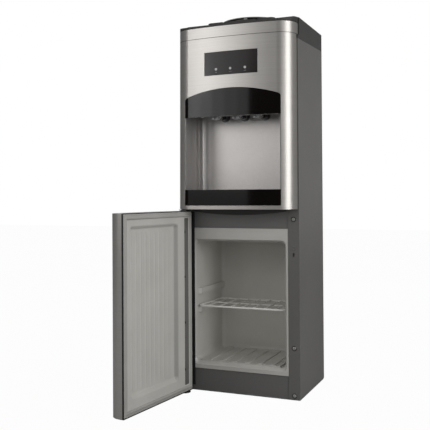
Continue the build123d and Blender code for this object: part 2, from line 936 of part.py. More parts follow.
def cold_coil():
    """Sleeve that stands for the wound evaporator tube round the cold tank."""
    inner = cold_radius + fit_gap / 2
    return (post(inner + coil_thickness, 0, 0, coil_low, coil_high)
            - post(inner, 0, 0, coil_low - overrun, coil_high + overrun))


def cold_tank_foam():
    """Foam jacket of the cold tank."""
    body = post(cold_foam_radius, 0, 0, cold_foam_floor, cold_top - fit_gap)
    body -= post(cold_radius + fit_gap / 2, 0, 0, cold_bottom - fit_gap / 2, cold_top + overrun)
    body -= post(cold_radius + coil_thickness + fit_gap, 0, 0, coil_low - fit_gap, cold_top + overrun)
    return body - [post(hose_radius + fit_gap, x, y, cold_foam_floor - overrun, cold_bottom)
                   for x, y in hose_rises()]


def water_guide():
    """Disc with a riser that keeps warm water from the chilled water."""
    floor = cold_bottom + cold_wall + fit_gap / 2
    guide = post(guide_radius, 0, 0, guide_level, guide_level + guide_thickness)
    guide += post(riser_radius, feed_x, feed_y, floor, guide_level + guide_thickness)
    return guide - post(riser_bore, feed_x, feed_y, floor - overrun, guide_level + overrun)


def hot_tank():
    """Closed steel heating tank."""
    inner = post(hot_radius - hot_wall, hot_x, hot_y, hot_bottom + hot_wall, hot_top - hot_wall)
    tank = post(hot_radius, hot_x, hot_y, hot_bottom, hot_top) - inner
    x = hot_x - heater_offset / 2
    for sign in (-1, 1):
        tank -= post(heater_tube + pin_play, x + sign * heater_spread, hot_y + heater_offset,
                     hot_top - overrun / 4, hot_top + overrun)
    tank -= post(hose_bore, feed_x, feed_y, hot_top - overrun / 4, hot_top + overrun)
    return tank - post(hose_bore, tap_pitch, hot_outlet_y(), hot_top - overrun / 4, hot_top + overrun)


def hot_outlet_y():
    return alcove_back + shank_length + hose_reach * 2


def hot_tank_jacket():
    """Insulating jacket of the hot tank, on the lower shelf."""
    floor = shelf_level_low + sheet + fit_gap
    jacket = post(jacket_radius, hot_x, hot_y, floor, hot_top)
    jacket -= post(hot_radius + fit_gap, hot_x, hot_y, hot_bottom - fit_gap / 2, hot_top + overrun)
    return jacket - rod_y(drain_radius + fit_gap, drain_x, drain_height, hot_y, rear_y)


def heater_element():
    """Looped heater on a round flange in the hot tank's lid."""
    x, y = hot_x - heater_offset / 2, hot_y + heater_offset
    stub = hot_top + heater_flange_height + heater_stub
    points = [(x - heater_spread, y, stub), (x - heater_spread, y, heater_low),
              (x + heater_spread, y, heater_low), (x + heater_spread, y, stub)]
    loop = pipe(points, heater_spread - hot_wall, heater_tube, 0)
    low = hot_top + fit_gap / 2
    return loop + post(heater_flange, x, y, low, low + heater_flange_height)


def thermostats():
    """Two snap discs on the hot tank's lid."""
    low = hot_top + fit_gap / 2
    discs = []
    for sign in (-1, 1):
        x = hot_x + thermostat_spread
        y = hot_y + sign * thermostat_spread / 2 - thermostat_height
        discs.append(post(thermostat_radius, x, y, low, low + thermostat_height))
    return Compound(children=discs)


def water_hoses():
    """Lines from the tanks to the taps, and the feed from the cold tank to the hot tank."""
    start = alcove_back + shank_length + fit_gap / 2
    cold_end = cold_bottom - fit_gap / 2
    hot_end = hot_top + fit_gap / 2
    rear = hose_rises()[0][1]
    hoses = []
    for x in (-tap_pitch, 0):
        points = [(x, start, tap_height), (x, rear, tap_height), (x, rear, cold_end)]
        hoses.append(pipe(points, hose_bend, hose_radius, hose_bore))
    back = hot_outlet_y()
    points = [(tap_pitch, start, tap_height), (tap_pitch, back, tap_height), (tap_pitch, back, hot_end)]
    hoses.append(pipe(points, hose_bend, hose_radius, hose_bore))
    feed = post(hose_radius, feed_x, feed_y, hot_end, cold_end)
    hoses.append(feed - post(hose_bore, feed_x, feed_y, hot_end, cold_end))
    return Compound(children=hoses)


def compressor():
    """Hermetic compressor: domed oval shell with a weld band and a foot plate."""
    face = Pos(0, comp_y) * SlotOverall(comp_half_width * 2, comp_depth)
    shell = extrude(Pos(0, 0, comp_bottom) * face, amount=comp_top - comp_bottom)
    caps = shell.faces().filter_by(Axis.Z)
    shell = fillet([e for f in caps for e in f.edges()], comp_round)
    band_z = (comp_bottom + comp_top) / 2
    band = Pos(0, comp_y) * SlotOverall((comp_half_width + band_reach) * 2, comp_depth + band_reach * 2)
    shell += extrude(Pos(0, 0, band_z) * band, amount=band_height)
    foot_z = comp_bottom - foot_thickness / 2
    half_foot = grommet_x + foot_reach
    y0, y1 = comp_y - grommet_y_offset - foot_reach, comp_y + grommet_y_offset + foot_reach
    foot = block(-half_foot, half_foot, y0, y1, foot_z, foot_z + foot_thickness)
    neck = post(comp_depth / 4, 0, comp_y, foot_z, comp_bottom + comp_round)
    top_stub = post(condenser_tube + stub_wall, -condenser_start, condenser_y, comp_top - stub_height,
                    comp_top + stub_height)
    side_stub = rod_x(line_radius + stub_wall, suction_y, suction_level, -stub_reach(), -comp_half_width / 2)
    return shell + foot + neck + top_stub + side_stub


def stub_reach():
    """How far the suction stub stands out to the side."""
    return comp_half_width + band_reach + stub_height


def compressor_grommets():
    """Four rubber grommets between foot plate and pan."""
    top = comp_bottom - foot_thickness / 2 - fit_gap / 2
    grommets = [post(grommet_radius, sx * grommet_x, comp_y + sy * grommet_y_offset, base_height, top)
                for sx in (-1, 1) for sy in (-1, 1)]
    return Compound(children=grommets)


def condenser_height(i):
    return condenser_low + i * condenser_pitch


def condenser():
    """Serpentine tube from the compressor's top, up through its passes."""
    y, half, r = condenser_y, condenser_half_width, condenser_pitch / 2
    bend = line_bend
    low = condenser_height(0)
    x0 = -condenser_start
    dip = bend * (1 - math.sqrt(0.5))
    start = comp_top + stub_height + fit_gap / 2
    edges = [Line((x0, y, start), (x0, y, low - bend)),
             ThreePointArc((x0, y, low - bend), (x0 + dip, y, low - dip), (x0 + bend, y, low))]
    x, sign = x0 + bend, 1
    for i in range(condenser_passes):
        z = condenser_height(i)
        end = sign * half
        edges.append(Line((x, y, z), (end, y, z)))
        if i < condenser_passes - 1:
            edges.append(ThreePointArc((end, y, z), (end + sign * r, y, z + r), (end, y, z + 2 * r)))
        x, sign = end, -sign
    path = Wire(edges)
    return sweep(Plane(origin=path @ 0, z_dir=path % 0) * Circle(condenser_tube), path=path)


def condenser_wires():
    """Upright wires welded across the condenser tube, front and back."""
    low, high = condenser_height(0) - wire_end, condenser_height(condenser_passes - 1) + wire_end
    reach = condenser_tube + wire_radius + pin_play
    wires = []
    for i in range(wire_count):
        x = (i - (wire_count - 1) / 2) * wire_pitch
        for sign in (-1, 1):
            wires.append(post(wire_radius, x, condenser_y + sign * reach, low, high))
    return Compound(children=wires)


def condenser_clips():
    """Four clips that hold the condenser off the back."""
    start = rear_y + fit_gap + sheet + fit_gap / 2
    clips = []
    for sign in (-1, 1):
        for i in (1, condenser_passes - 2):
            z = condenser_height(i)
            edge = (wire_count - 1) / 2 * wire_pitch + wire_radius + fit_gap
            x0 = sign * edge if sign > 0 else sign * edge - clip_half_width / 2
            clip = block(x0, x0 + clip_half_width / 2, start, condenser_y + condenser_tube * 2,
                         z - clip_height, z + clip_height)
            clips.append(clip - rod_x(condenser_tube + pin_play, condenser_y, z, -half_width, half_width))
    return Compound(children=clips)


def filter_drier():
    """Copper filter drier with necked ends, upright beside the condenser."""
    top = drier_bottom + drier_length
    neck = drier_radius / 2
    drier = post(drier_radius, drier_x, condenser_y, drier_bottom + neck, top - neck)
    return drier + post(neck, drier_x, condenser_y, drier_bottom, top)


def refrigerant_lines():
    """Copper lines: condenser to drier, drier to the cabinet, cabinet to the compressor."""
    y = condenser_y
    top = condenser_height(condenser_passes - 1)
    cover = rear_y + fit_gap + sheet + fit_gap / 2
    start = condenser_half_width + fit_gap / 2
    bridge = pipe([(start, y, top), (drier_x, y, top), (drier_x, y, drier_bottom + drier_length + pin_play)],
                  line_bend, line_radius, 0)
    low = drier_bottom - capillary_drop
    capillary = pipe([(drier_x, y, drier_bottom - pin_play), (drier_x, y, low), (drier_x, cover, low)],
                     line_bend, line_radius / 2, 0)
    x = -suction_x
    end = -stub_reach() - fit_gap / 2
    suction = pipe([(x, cover, suction_top), (x, suction_y, suction_top), (x, suction_y, suction_level),
                    (end, suction_y, suction_level)], line_bend, line_radius, 0)
    return Compound(children=[bridge, capillary, suction])


def drain_outlet():
    """Drain stub from the hot tank through the back, closed by a screw cap."""
    start = hot_y + hot_radius + fit_gap
    cover = rear_y + fit_gap + sheet
    end = cover + drain_length
    stub = rod_y(drain_radius, drain_x, drain_height, start, end)
    stub -= rod_y(drain_bore, drain_x, drain_height, start, end)
    cap = rod_y(drain_cap_radius, drain_x, drain_height, end - drain_cap_length, end + socket_wall * 2)
    cap -= rod_y(drain_radius + pin_play, drain_x, drain_height, end - drain_cap_length, end)
    return Compound(children=[stub, cap])


def rocker_places():
    return {"rocker_heat": plate_x - rocker_pitch / 2, "rocker_cool": plate_x + rocker_pitch / 2}


def rocker_y():
    """Depth of the rockers' pivot."""
    return rear_y + fit_gap + sheet + switch_plate_thickness - rocker_depth / 2


def switch_plate():
    """Plate and socket of the two rocker switches on the back."""
    cover = rear_y + fit_gap + sheet
    x, z = plate_x, plate_height
    front = cover + fit_gap / 2
    plate = block(x - switch_half_width, x + switch_half_width, front, front + switch_plate_thickness,
                  z - switch_half_height, z + switch_half_height)
    half_x = switch_half_width - socket_wall * 2
    half_z = switch_half_height - socket_wall * 2
    depth = rocker_depth * 2
    plate += block(x - half_x, x + half_x, front - depth, front, z - half_z, z + half_z)
    for place in rocker_places().values():
        half = rocker_half_width + rocker_side_gap
        tall = rocker_half_height + rocker_side_gap * 3
        plate -= block(place - half, place + half, front - depth + socket_wall,
                       front + switch_plate_thickness + overrun, z - tall, z + tall)
        plate += rod_x(pin_radius, rocker_y(), z, place - half - socket_wall / 2,
                       place + half + socket_wall / 2)
    return plate


def rocker(place):
    """Rocker cap, tipped to its resting side."""
    y, z = rocker_y(), plate_height
    half = rocker_half_width
    tall = rocker_half_height
    front = rear_y + fit_gap + sheet + switch_plate_thickness + rocker_proud
    cap = block(place - half, place + half, y, front, z - tall, z + tall)
    cap += rod_x(rocker_depth / 2, y, z, place - half, place + half)
    cap -= rod_x(pin_radius + pin_play, y, z, place - half * 2, place + half * 2)
    return Pos(0, y, z) * Rot(rocker_tilt, 0, 0) * Pos(0, -y, -z) * cap


def cord_gland():
    """Gland through which the mains lead leaves."""
    y = rear_y + fit_gap + sheet
    gland = rod_y(gland_radius, gland_x, gland_height, rear_y + fit_gap, y + socket_wall)
    gland += rod_y(gland_radius + socket_wall * 2, gland_x, gland_height, y + fit_gap / 2, y + socket_wall * 2)
    gland += rod_y(gland_radius - socket_wall, gland_x, gland_height, y, y + gland_length)
    return gland - rod_y(gland_bore, gland_x, gland_height, rear_y - overrun, y + overrun)


def control_box():
    """Box of the relays and terminals on the lower shelf."""
    floor = shelf_level_low + sheet + fit_gap
    left = -half_width + sheet + fit_gap
    back = rear_y - sheet - fit_gap - overrun / 2
    return block(left, left + box_half_width * 2, back - box_depth, back, floor, floor + box_high - box_low)


def top_cover():
    """Moulded top: side skirts, a sloping nose, a shallow crown and a round plinth."""
    side, back = half_width, rear_y
    nose_low = trim_top + seam_gap

    def crown(inset, drop):
        low = Pos(0, (cover_side_front + back) / 2, cover_edge - drop) * Rectangle(
            (side - inset) * 2, back - cover_side_front - inset * 2)
        run = cover_inset + inset
        y0, y1 = cover_side_front + cover_front_inset + inset, back - run
        high = Pos(0, (y0 + y1) / 2, cover_plateau - drop) * Rectangle((side - run) * 2, y1 - y0)
        return loft([low, high], ruled=True)

    def skirt(inset, drop):
        y0, y1 = cover_side_front + inset, back - inset
        tab = front_y + slack
        low = [seam_height(y) + slack - (overrun if drop else 0) for y in (tab, y1)]
        points = [(tab, low[0]), (y1, low[1]), (y1, cover_edge - drop), (y0, cover_edge - drop),
                  (y0, panel_seam), (tab, panel_seam)]
        return extrude(Plane.YZ * make_face(Polyline(*points, close=True)), amount=side - inset, both=True)

    def nose(inset, drop):
        low = nose_low - (overrun / 2 if drop else 0)
        body = front_volume(inset, low, cover_edge + overrun, cover_side_front + slack)
        tip = bow_front + inset
        points = [(tip - overrun, low), (cover_side_front + overrun, low),
                  (cover_side_front + overrun, cover_edge - drop), (cover_side_front, cover_edge - drop),
                  (tip, nose_low + cover_wall - drop), (tip - overrun, nose_low + cover_wall - drop)]
        return body & extrude(Plane.YZ * make_face(Polyline(*points, close=True)), amount=side, both=True)

    outer = skirt(0, 0) + crown(0, 0) + nose(0, 0)
    plinth_back = -plinth_front
    plinth = Pos(0, (plinth_front + plinth_back) / 2, cover_plateau - cover_wall) * RectangleRounded(
        plinth_half_width * 2, plinth_back - plinth_front, plinth_corner)
    outer += extrude(plinth, amount=plinth_top - cover_plateau + cover_wall)
    for sign in (-1, 1):
        outer -= block(sign * notch_x - notch_width / 2, sign * notch_x + notch_width / 2,
                       plinth_front - notch_depth, plinth_front + notch_depth, cover_plateau, plinth_top)
    cover = outer - skirt(cover_wall, cover_wall) - nose(cover_wall, cover_wall)
    cover -= crown(cover_wall, cover_wall)
    return cover - post(seat_hole, 0, 0, cover_edge - overrun, plinth_top + overrun)


def bottle_seat():
    """Lift-off seat: slotted collar, funnel and the well for the bottle's neck."""
    low = plinth_top + fit_gap
    collar = post(seat_radius, 0, 0, low, seat_top)
    cone = Pos(0, 0, (neck_top + low) / 2) * Cone(neck_outer, seat_hole - slack, low - neck_top)
    collar += cone
    collar += post(neck_outer, 0, 0, neck_bottom, neck_top)
    funnel = Pos(0, 0, (neck_top + seat_top) / 2) * Cone(neck_bore, seat_cone_top, seat_top - neck_top)
    seat = collar - funnel - post(neck_bore, 0, 0, neck_bottom - overrun, seat_top)
    arc = math.radians(seat_slot_turn / 2)
    pitch = 360.0 / seat_slots
    wedge_r = seat_radius + seat_wall
    for i in range(seat_slots):
        turn = -90 + seat_web_angle + pitch * (i + 0.5)
        points = [(0, 0), (wedge_r, -wedge_r * math.tan(arc)), (wedge_r, wedge_r * math.tan(arc))]
        wedge = extrude(Pos(0, 0, seat_slot_low) * make_face(Polyline(*points, close=True)),
                        amount=seat_slot_high - seat_slot_low)
        ring = wedge - post(seat_radius - seat_wall / 4, 0, 0, seat_slot_low - overrun, seat_slot_high + overrun)
        seat -= Rot(0, 0, turn) * ring
    return seat


def door_envelope(inset, low, high):
    """The door's outer shape at one lean, set in by a distance."""
    z = lean_level
    plan = Pos(0, 0, low - z) * front_outline(inset, z, rim_plane, door_corner_radius)
    return extrude(plan, amount=high - low)


def door_skin_shell():
    """Bowed steel door skin with its ends, open to the rear, bored for the bushes."""
    shell = door_envelope(0, door_bottom, door_top)
    inner = Pos(0, 0, 0) * door_envelope(door_skin, door_bottom + door_skin, door_top - door_skin)
    back = block(-panel_half_width + door_skin, panel_half_width - door_skin, bow_front / 1.25, rim_plane,
                 door_bottom + door_skin, door_top - door_skin)
    shell = shell - inner - back
    return shell - post(bush_radius + pin_play, hinge_x, hinge_y, door_bottom - overrun, door_top + overrun)


def frustum(x0, x1, z0, z1, bevel, depth, grow):
    """Sunk tray shape: wide at the rim plane, narrower at its floor towards the front."""
    def rect(inset, y):
        a, b, c, d = x0 + inset - grow, x1 - inset + grow, z0 + inset - grow, z1 - inset + grow
        face = Pos((a + b) / 2, (c + d) / 2) * Rectangle(b - a, d - c)
        return Plane.XZ.offset(-y) * face
    return loft([rect(0, rim_plane), rect(bevel, rim_plane - depth - grow)], ruled=True)


def door_sinks(grow):
    """The sunk panel and the hinge-side channel of the door's inner face."""
    panel = frustum(sink_left, sink_right, sink_bottom, sink_top, sink_bevel, sink_depth, grow)
    channel = frustum(channel_left, channel_right, channel_bottom, channel_top, door_plate,
                      channel_depth, grow)
    return [panel, channel]


def door_liner():
    """Moulded inner face: flat rim, sunk panel with upright flutes, and a channel."""
    half = panel_half_width - door_skin - fit_gap
    low, high = door_bottom + door_skin + fit_gap, door_top - door_skin - fit_gap
    liner = block(-half, half, rim_plane - door_plate, rim_plane, low, high)
    for shape in door_sinks(door_plate):
        liner += shape & block(-half, half, rim_plane - overrun, rim_plane, low, high)
    for shape in door_sinks(0):
        liner -= shape
    middle = (sink_left + sink_right) / 2
    floor_y = rim_plane - sink_depth
    for i in range(flute_count):
        x = middle + (i - (flute_count - 1) / 2) * flute_pitch
        w = flute_width / 2
        liner += block(x - w, x + w, floor_y - door_plate / 2, floor_y + flute_rise,
                       sink_bottom + sink_bevel * 2, sink_top - sink_bevel * 2)
    return liner


def door_foam():
    """Insulation between the skin and the inner face."""
    inset = door_skin + fit_gap
    low, high = door_bottom + inset, door_top - inset
    foam = door_envelope(inset, low, high)
    foam &= block(-panel_half_width, panel_half_width, bow_front - overrun, rim_plane - door_plate - fit_gap,
                  low, high)
    for shape in door_sinks(door_plate + fit_gap):
        foam -= shape
    return foam - post(bush_radius + fit_gap, hinge_x, hinge_y, door_bottom, door_top)


def door_gasket():
    """Magnetic gasket: a ring on the rim, tapered outwards so that it clears the frame as it turns."""
    half = panel_half_width - gasket_inset
    low, high = door_bottom + gasket_inset * 2, door_top - gasket_inset * 2
    middle = (low + high) / 2

    def rect(inset, y):
        face = Pos(0, middle) * RectangleRounded(
            (half - inset) * 2, high - low - inset * 2, gasket_inset * 2)
        return Plane.XZ.offset(-y) * face

    start = rim_plane + fit_gap / 3
    ring = loft([rect(0, start), rect(gasket_taper, rim_plane + gasket_height)], ruled=True)
    hole = rounded_box(half - gasket_width, low + gasket_width, high - gasket_width,
                       rim_plane - overrun, rim_plane + overrun, gasket_inset * 4)
    return ring - hole


def hinge_bushes():
    """Nylon bushes at the top and bottom of the door."""
    bushes = []
    for end, sign in ((door_bottom, 1), (door_top, -1)):
        inner, lip = end + sign * bush_length, end - sign * bush_flange_height
        bush = post(bush_radius, hinge_x, hinge_y, min(end, inner), max(end, inner))
        bush += post(bush_flange, hinge_x, hinge_y, min(end, lip), max(end, lip))
        bore = hinge_pin + hinge_play
        bushes.append(bush - post(bore, hinge_x, hinge_y, end - overrun, end + overrun))
    return Compound(children=bushes)


def opened(shape):
    """Turns a piece of the closed door to where it stands open."""
    return Pos(hinge_x, hinge_y, 0) * Rot(0, 0, -door_open) * Pos(-hinge_x, -hinge_y, 0) * shape


def hinge_leaf(low, y_end):
    """Flat leaf with a rounded nose round the pivot."""
    half = leaf_half_width
    leaf = block(hinge_x - half, hinge_x + half, hinge_y, y_end, low, low + leaf_thickness)
    return leaf + post(half, hinge_x, hinge_y, low, low + leaf_thickness)


def hinge_bottom():
    """Black bracket under the door with its pin, on the base pan's skirt."""
    end = front_y + bar_recess + sheet + fit_gap
    pin_top = door_bottom + bush_length - slack
    return hinge_leaf(leaf_low, end) + post(hinge_pin, hinge_x, hinge_y, leaf_low, pin_top)


def hinge_top():
    """Bracket over the door: leaf, upright leg on the side flange, and pin."""
    face = front_y - fit_gap / 6
    half = leaf_half_width
    bracket = hinge_leaf(leaf_high, face)
    left = -panel_half_width + panel_wall + slack
    bracket += block(left, hinge_x + half, face - leaf_thickness, face, leaf_high, leaf_high + leg_height)
    bracket += post(hinge_pin, hinge_x, hinge_y, door_top - bush_length + slack, leaf_high + leaf_thickness)
    for z in hinge_screw_heights():
        bracket -= rod_y(screw_shank + fit_gap, hinge_x, z, face - overrun / 4, face + overrun / 4)
    return bracket


def hinge_screw_heights():
    return [leaf_high + leg_height - hinge_screw_spread / 2 - i * hinge_screw_spread / 1.2 for i in (0, 1)]


def screw(x, z, y, sign):
    """Domed screw. Its head stands on the side named by sign: -1 to the front, 1 to the rear."""
    face = y + sign * pin_play
    head_end = face + sign * screw_head_height
    tail = face - sign * screw_length
    head = rod_y(screw_head, x, z, min(face, head_end), max(face, head_end))
    rim = head.faces().sort_by(Axis.Y)[0 if sign < 0 else -1]
    head = fillet(rim.edges(), screw_head_height * 0.7)
    return head + rod_y(screw_shank, x, z, min(face, tail), max(face, tail))


def cabinet_screws():
    """Screws of the free side's front flange, the top hinge and the rear cover. The hinge side's
    flange has none, because the door turns close past it."""
    middle = half_width - flange_width / 2
    screws = [screw(middle, z, front_y, -1) for z in (*flange_screw_heights, slot_screw_height)]
    for sign in (-1, 1):
        for z in rear_screw_heights:
            screws.append(screw(sign * rear_screw_x, z, rear_y + fit_gap + sheet, 1))
    for z in hinge_screw_heights():
        screws.append(screw(hinge_x, z, front_y - fit_gap / 6 - leaf_thickness, -1))
    return Compound(children=screws)


def build_all():
    """Every piece of the dispenser under its name."""
    parts = {
        "base_pan": base_pan(),
        "side_panel_left": side_panel(-1),
        "side_panel_right": side_panel(1),
        "cross_bar": cross_bar(),
        "kick_plate": kick_plate(),
        "rear_cover": rear_cover(),
        "tank_shelves": tank_shelves(),
        "front_panel": front_panel(),
        "front_trim": front_trim(),
        "top_cover": top_cover(),
        "display_window": display_window(),
        "indicator_lenses": indicator_lenses(),
        "indicator_board": indicator_board(),
        "tap_hood": tap_hood(),
        "alcove": alcove(),
        "tap_nuts": tap_nuts(),
        "cabinet_liner": cabinet_liner(),
        "liner_foam": liner_foam(),
        "evaporator_plate": evaporator_plate(),
        "cold_tank": cold_tank(),
        "cold_tank_foam": cold_tank_foam(),
        "cold_coil": cold_coil(),
        "water_guide": water_guide(),
        "hot_tank": hot_tank(),
        "hot_tank_jacket": hot_tank_jacket(),
        "heater_element": heater_element(),
        "thermostats": thermostats(),
        "water_hoses": water_hoses(),
        "compressor": compressor(),
        "compressor_grommets": compressor_grommets(),
        "condenser_tube": condenser(),
        "condenser_wires": condenser_wires(),
        "condenser_clips": condenser_clips(),
        "filter_drier": filter_drier(),
        "refrigerant_lines": refrigerant_lines(),
        "drain_outlet": drain_outlet(),
        "switch_plate": switch_plate(),
        "cord_gland": cord_gland(),
        "control_box": control_box(),
        "hinge_top": hinge_top(),
        "hinge_bottom": hinge_bottom(),
        "cabinet_screws": cabinet_screws(),
        "drip_tray": drip_tray(),
        "drip_tray_front": drip_tray_front(),
        "drip_grille": drip_grille(),
        "wire_shelf": wire_shelf(),
        "bottle_seat": bottle_seat(),
    }
    for name, x in zip(("left", "middle", "right"), tap_places()):
        parts["tap_body_" + name] = tap_body(x)
        parts["tap_lever_" + name] = tap_lever(x)
    for name, place in rocker_places().items():
        parts[name] = rocker(place)
    door = {
        "door_skin": door_skin_shell(),
        "door_liner": door_liner(),
        "door_foam": door_foam(),
        "door_gasket": door_gasket(),
        "hinge_bushes": hinge_bushes(),
    }
    parts.update({name: opened(shape) for name, shape in door.items()})
    return parts


os.makedirs("parts", exist_ok=True)
for node, shape in build_all().items():
    export_step(shape, f"parts/{node}.step")
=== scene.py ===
# %% [markdown]
# Water dispenser with a small refrigerator: the dressed scene.
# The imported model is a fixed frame: every sheet, tank and hinge already stands in its place, in
# metres, X to the viewer's right, Y to the rear and Z up. This file gives each piece its finish,
# and remakes the pieces whose real form is moulded, bent, cast or welded, where a CAD solid
# is only a stand-in. It closes with the studio, the camera and the lights.

# %% Load the frame
import math

import bpy
from mathutils import Matrix, Vector


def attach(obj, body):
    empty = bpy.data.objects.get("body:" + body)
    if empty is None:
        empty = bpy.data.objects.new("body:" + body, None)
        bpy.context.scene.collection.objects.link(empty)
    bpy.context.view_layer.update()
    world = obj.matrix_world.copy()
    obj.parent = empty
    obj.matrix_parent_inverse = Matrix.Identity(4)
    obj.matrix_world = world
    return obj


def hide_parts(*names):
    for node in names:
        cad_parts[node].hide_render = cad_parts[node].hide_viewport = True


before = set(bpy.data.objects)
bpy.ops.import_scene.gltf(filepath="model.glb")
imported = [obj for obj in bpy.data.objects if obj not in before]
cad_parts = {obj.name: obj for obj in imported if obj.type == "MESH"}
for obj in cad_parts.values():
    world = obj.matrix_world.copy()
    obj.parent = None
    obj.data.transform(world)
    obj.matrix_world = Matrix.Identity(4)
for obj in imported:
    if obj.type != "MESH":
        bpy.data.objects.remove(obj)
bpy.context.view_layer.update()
scene = bpy.context.scene
MM = 0.001

# %% [markdown]
# A finish is a node tree, and most of it is arithmetic: a mask, a scale, a mix of two greys.
# Drawing that by hand takes a screenful of Math nodes. Here one small class wraps a socket, so
# that a sum in Python adds the Math node, and one method adds any other node. The same class
# serves the Geometry Nodes further down, because both kinds of tree link in the same way.

# %% A socket that does arithmetic
class Value:
    """A socket of a node tree. Sums with it add Math nodes."""

    def __init__(self, tree, socket):
        self.tree = tree
        self.socket = socket

    def node(self, kind, settings=None, inputs=None, out=0):
        return add_node(self.tree, kind, settings, inputs, out)

    def also(self, name):
        """Another output of the node that this socket belongs to."""
        return Value(self.tree, self.socket.node.outputs[name])

    def math(self, operation, first, second=None):
        inputs = {0: first} if second is None else {0: first, 1: second}
        return self.node("ShaderNodeMath", {"operation": operation}, inputs)

    def __add__(self, other):
        return self.math("ADD", self, other)

    __radd__ = __add__

    def __sub__(self, other):
        return self.math("SUBTRACT", self, other)

    def __rsub__(self, other):
        return self.math("SUBTRACT", other, self)

    def __mul__(self, other):
        return self.math("MULTIPLY", self, other)

    __rmul__ = __mul__

    def __abs__(self):
        return self.math("ABSOLUTE", self)

    def __lt__(self, other):
        return self.math("LESS_THAN", self, other)

    def __gt__(self, other):
        return self.math("GREATER_THAN", self, other)

    def between(self, low, high):
        """0 below low, 1 above high, and an even slope from one to the other."""
        return self.node("ShaderNodeMapRange", {"clamp": True}, {0: self, 1: low, 2: high, 3: 0.0, 4: 1.0})

    def band(self, low, high, soft):
        """1 from low to high, with a slope of the width soft inside each end."""
        return self.between(low, low + soft) * (1 - self.between(high - soft, high))


def add_node(tree, kind, settings=None, inputs=None, out=0):
    """Adds a node: settings first, then the values or links of its sockets."""
    node = tree.nodes.new(kind)
    for key, setting in (settings or {}).items():
        setattr(node, key, setting)
    for key, item in (inputs or {}).items():
        if isinstance(item, Value):
            tree.links.new(item.socket, node.inputs[key])
        else:
            node.inputs[key].default_value = item
    return Value(tree, node.outputs[out]) if len(node.outputs) else Value(tree, None)


print("socket class ready")

# %% [markdown]
# All finishes start from the same base: a Principled shader that reads Object coordinates. As
# every piece keeps its object at the origin, those coordinates are metres in the room, so one
# grain runs on across neighbouring pieces. Colours are written as they look on a screen, 0 to
# 255, and turned into linear light once, here.

# %% Finish helpers
FINISH = {}


def screen(red, green, blue):
    """Linear colour of a screen colour, 0 to 255."""
    def one(level):
        c = level / 255.0
        return c / 12.92 if c <= 0.04045 else ((c + 0.055) / 1.055) ** 2.4
    return (one(red), one(green), one(blue))


class Finish:
    """One material: its tree, its coordinates and its Principled shader."""

    def __init__(self, slot, **fixed):
        self.material = bpy.data.materials.new(slot + "_finish")
        self.material.use_nodes = True
        self.tree = self.material.node_tree
        self.tree.nodes.clear()
        self.out = self.tree.nodes.new("ShaderNodeOutputMaterial")
        self.shader = self.tree.nodes.new("ShaderNodeBsdfPrincipled")
        self.tree.links.new(self.shader.outputs[0], self.out.inputs[0])
        for name, level in fixed.items():
            self.shader.inputs[name.replace("_", " ")].default_value = level
        self.place = self.node("ShaderNodeTexCoord", out="Object")
        FINISH[slot] = self

    def node(self, kind, settings=None, inputs=None, out=0):
        return add_node(self.tree, kind, settings, inputs, out)

    def feed(self, name, item):
        """Links a value into a socket of the shader."""
        self.tree.links.new(item.socket, self.shader.inputs[name])

    def axis(self, name):
        """One of the coordinates, X, Y or Z, in metres."""
        return self.node("ShaderNodeSeparateXYZ", None, {0: self.place}, name)

    def stretched(self, x, y, z):
        """The coordinates, drawn out along the axes with small factors."""
        return self.node("ShaderNodeMapping", None, {"Vector": self.place, "Scale": (x, y, z)})

    def noise(self, scale, detail=3.0, rough=0.55, vector=None):
        inputs = {"Vector": vector or self.place, "Scale": scale, "Detail": detail, "Roughness": rough}
        return self.node("ShaderNodeTexNoise", None, inputs)

    def patches(self, scale=12.0, detail=3.0):
        """Noise whose middle is drawn apart, so that it runs from 0 to 1."""
        return self.noise(scale, detail).between(0.3, 0.7)

    def mix(self, factor, first, second):
        """Mix of two colours."""
        def four(c):
            return c if isinstance(c, Value) else (*c, 1.0)
        inputs = {0: factor, 6: four(first), 7: four(second)}
        return self.node("ShaderNodeMix", {"data_type": "RGBA"}, inputs, 2)

    def bump(self, height, distance, strength, edge=0.0):
        """Bump on top of edges rounded by a small radius."""
        inputs = {"Height": height, "Distance": distance, "Strength": strength}
        if edge:
            inputs["Normal"] = self.node("ShaderNodeBevel", {"samples": 4}, {"Radius": edge})
        self.feed("Normal", self.node("ShaderNodeBump", None, inputs))


print("finish helpers ready")

# %% [markdown]
# Silver front: steel-look film or brushed steel, bowed, with fine lines that run across. The
# lines are noise drawn out nearly two hundred times along X, with wider streaks that show from
# afar. They go into roughness and a very small bump, so they break up a reflection but hardly
# colour it. On the side walls of the front the lines run to the rear, so Y is drawn out as well.

# %% Silver front and door skin
LINES_PER_METRE, STREAKS_PER_METRE = 2600, 430

silver = Finish("silver_front", Metallic=0.68, IOR=1.5)
lines = silver.noise(1.0, 4.0, 0.7, silver.stretched(14, 14, LINES_PER_METRE))
streaks = silver.noise(1.0, 3.0, 0.6, silver.stretched(5, 5, STREAKS_PER_METRE))
brushed = lines * 0.68 + streaks * 0.32
cloud = silver.noise(9.0, 2.0).between(0.35, 0.7)
tone = silver.mix(brushed.between(0.35, 0.65), screen(176, 173, 169), screen(195, 192, 188))
silver.feed("Base Color", silver.mix(cloud * 0.35, tone, screen(180, 176, 171)))
silver.feed("Roughness", 0.28 + brushed.between(0.3, 0.7) * 0.11)
silver.bump(lines, 0.00004, 0.5, 0.0006)
print("silver: lines", LINES_PER_METRE, "per metre")

# %% [markdown]
# Painted steel: the sides, frame and back have baked paint with a slight orange peel. Its relief
# is a tenth of a millimetre at most, seen only where light grazes it. Two sizes of noise, one
# for the peel and one for pigment, keep the large flat side from looking like a flat fill.

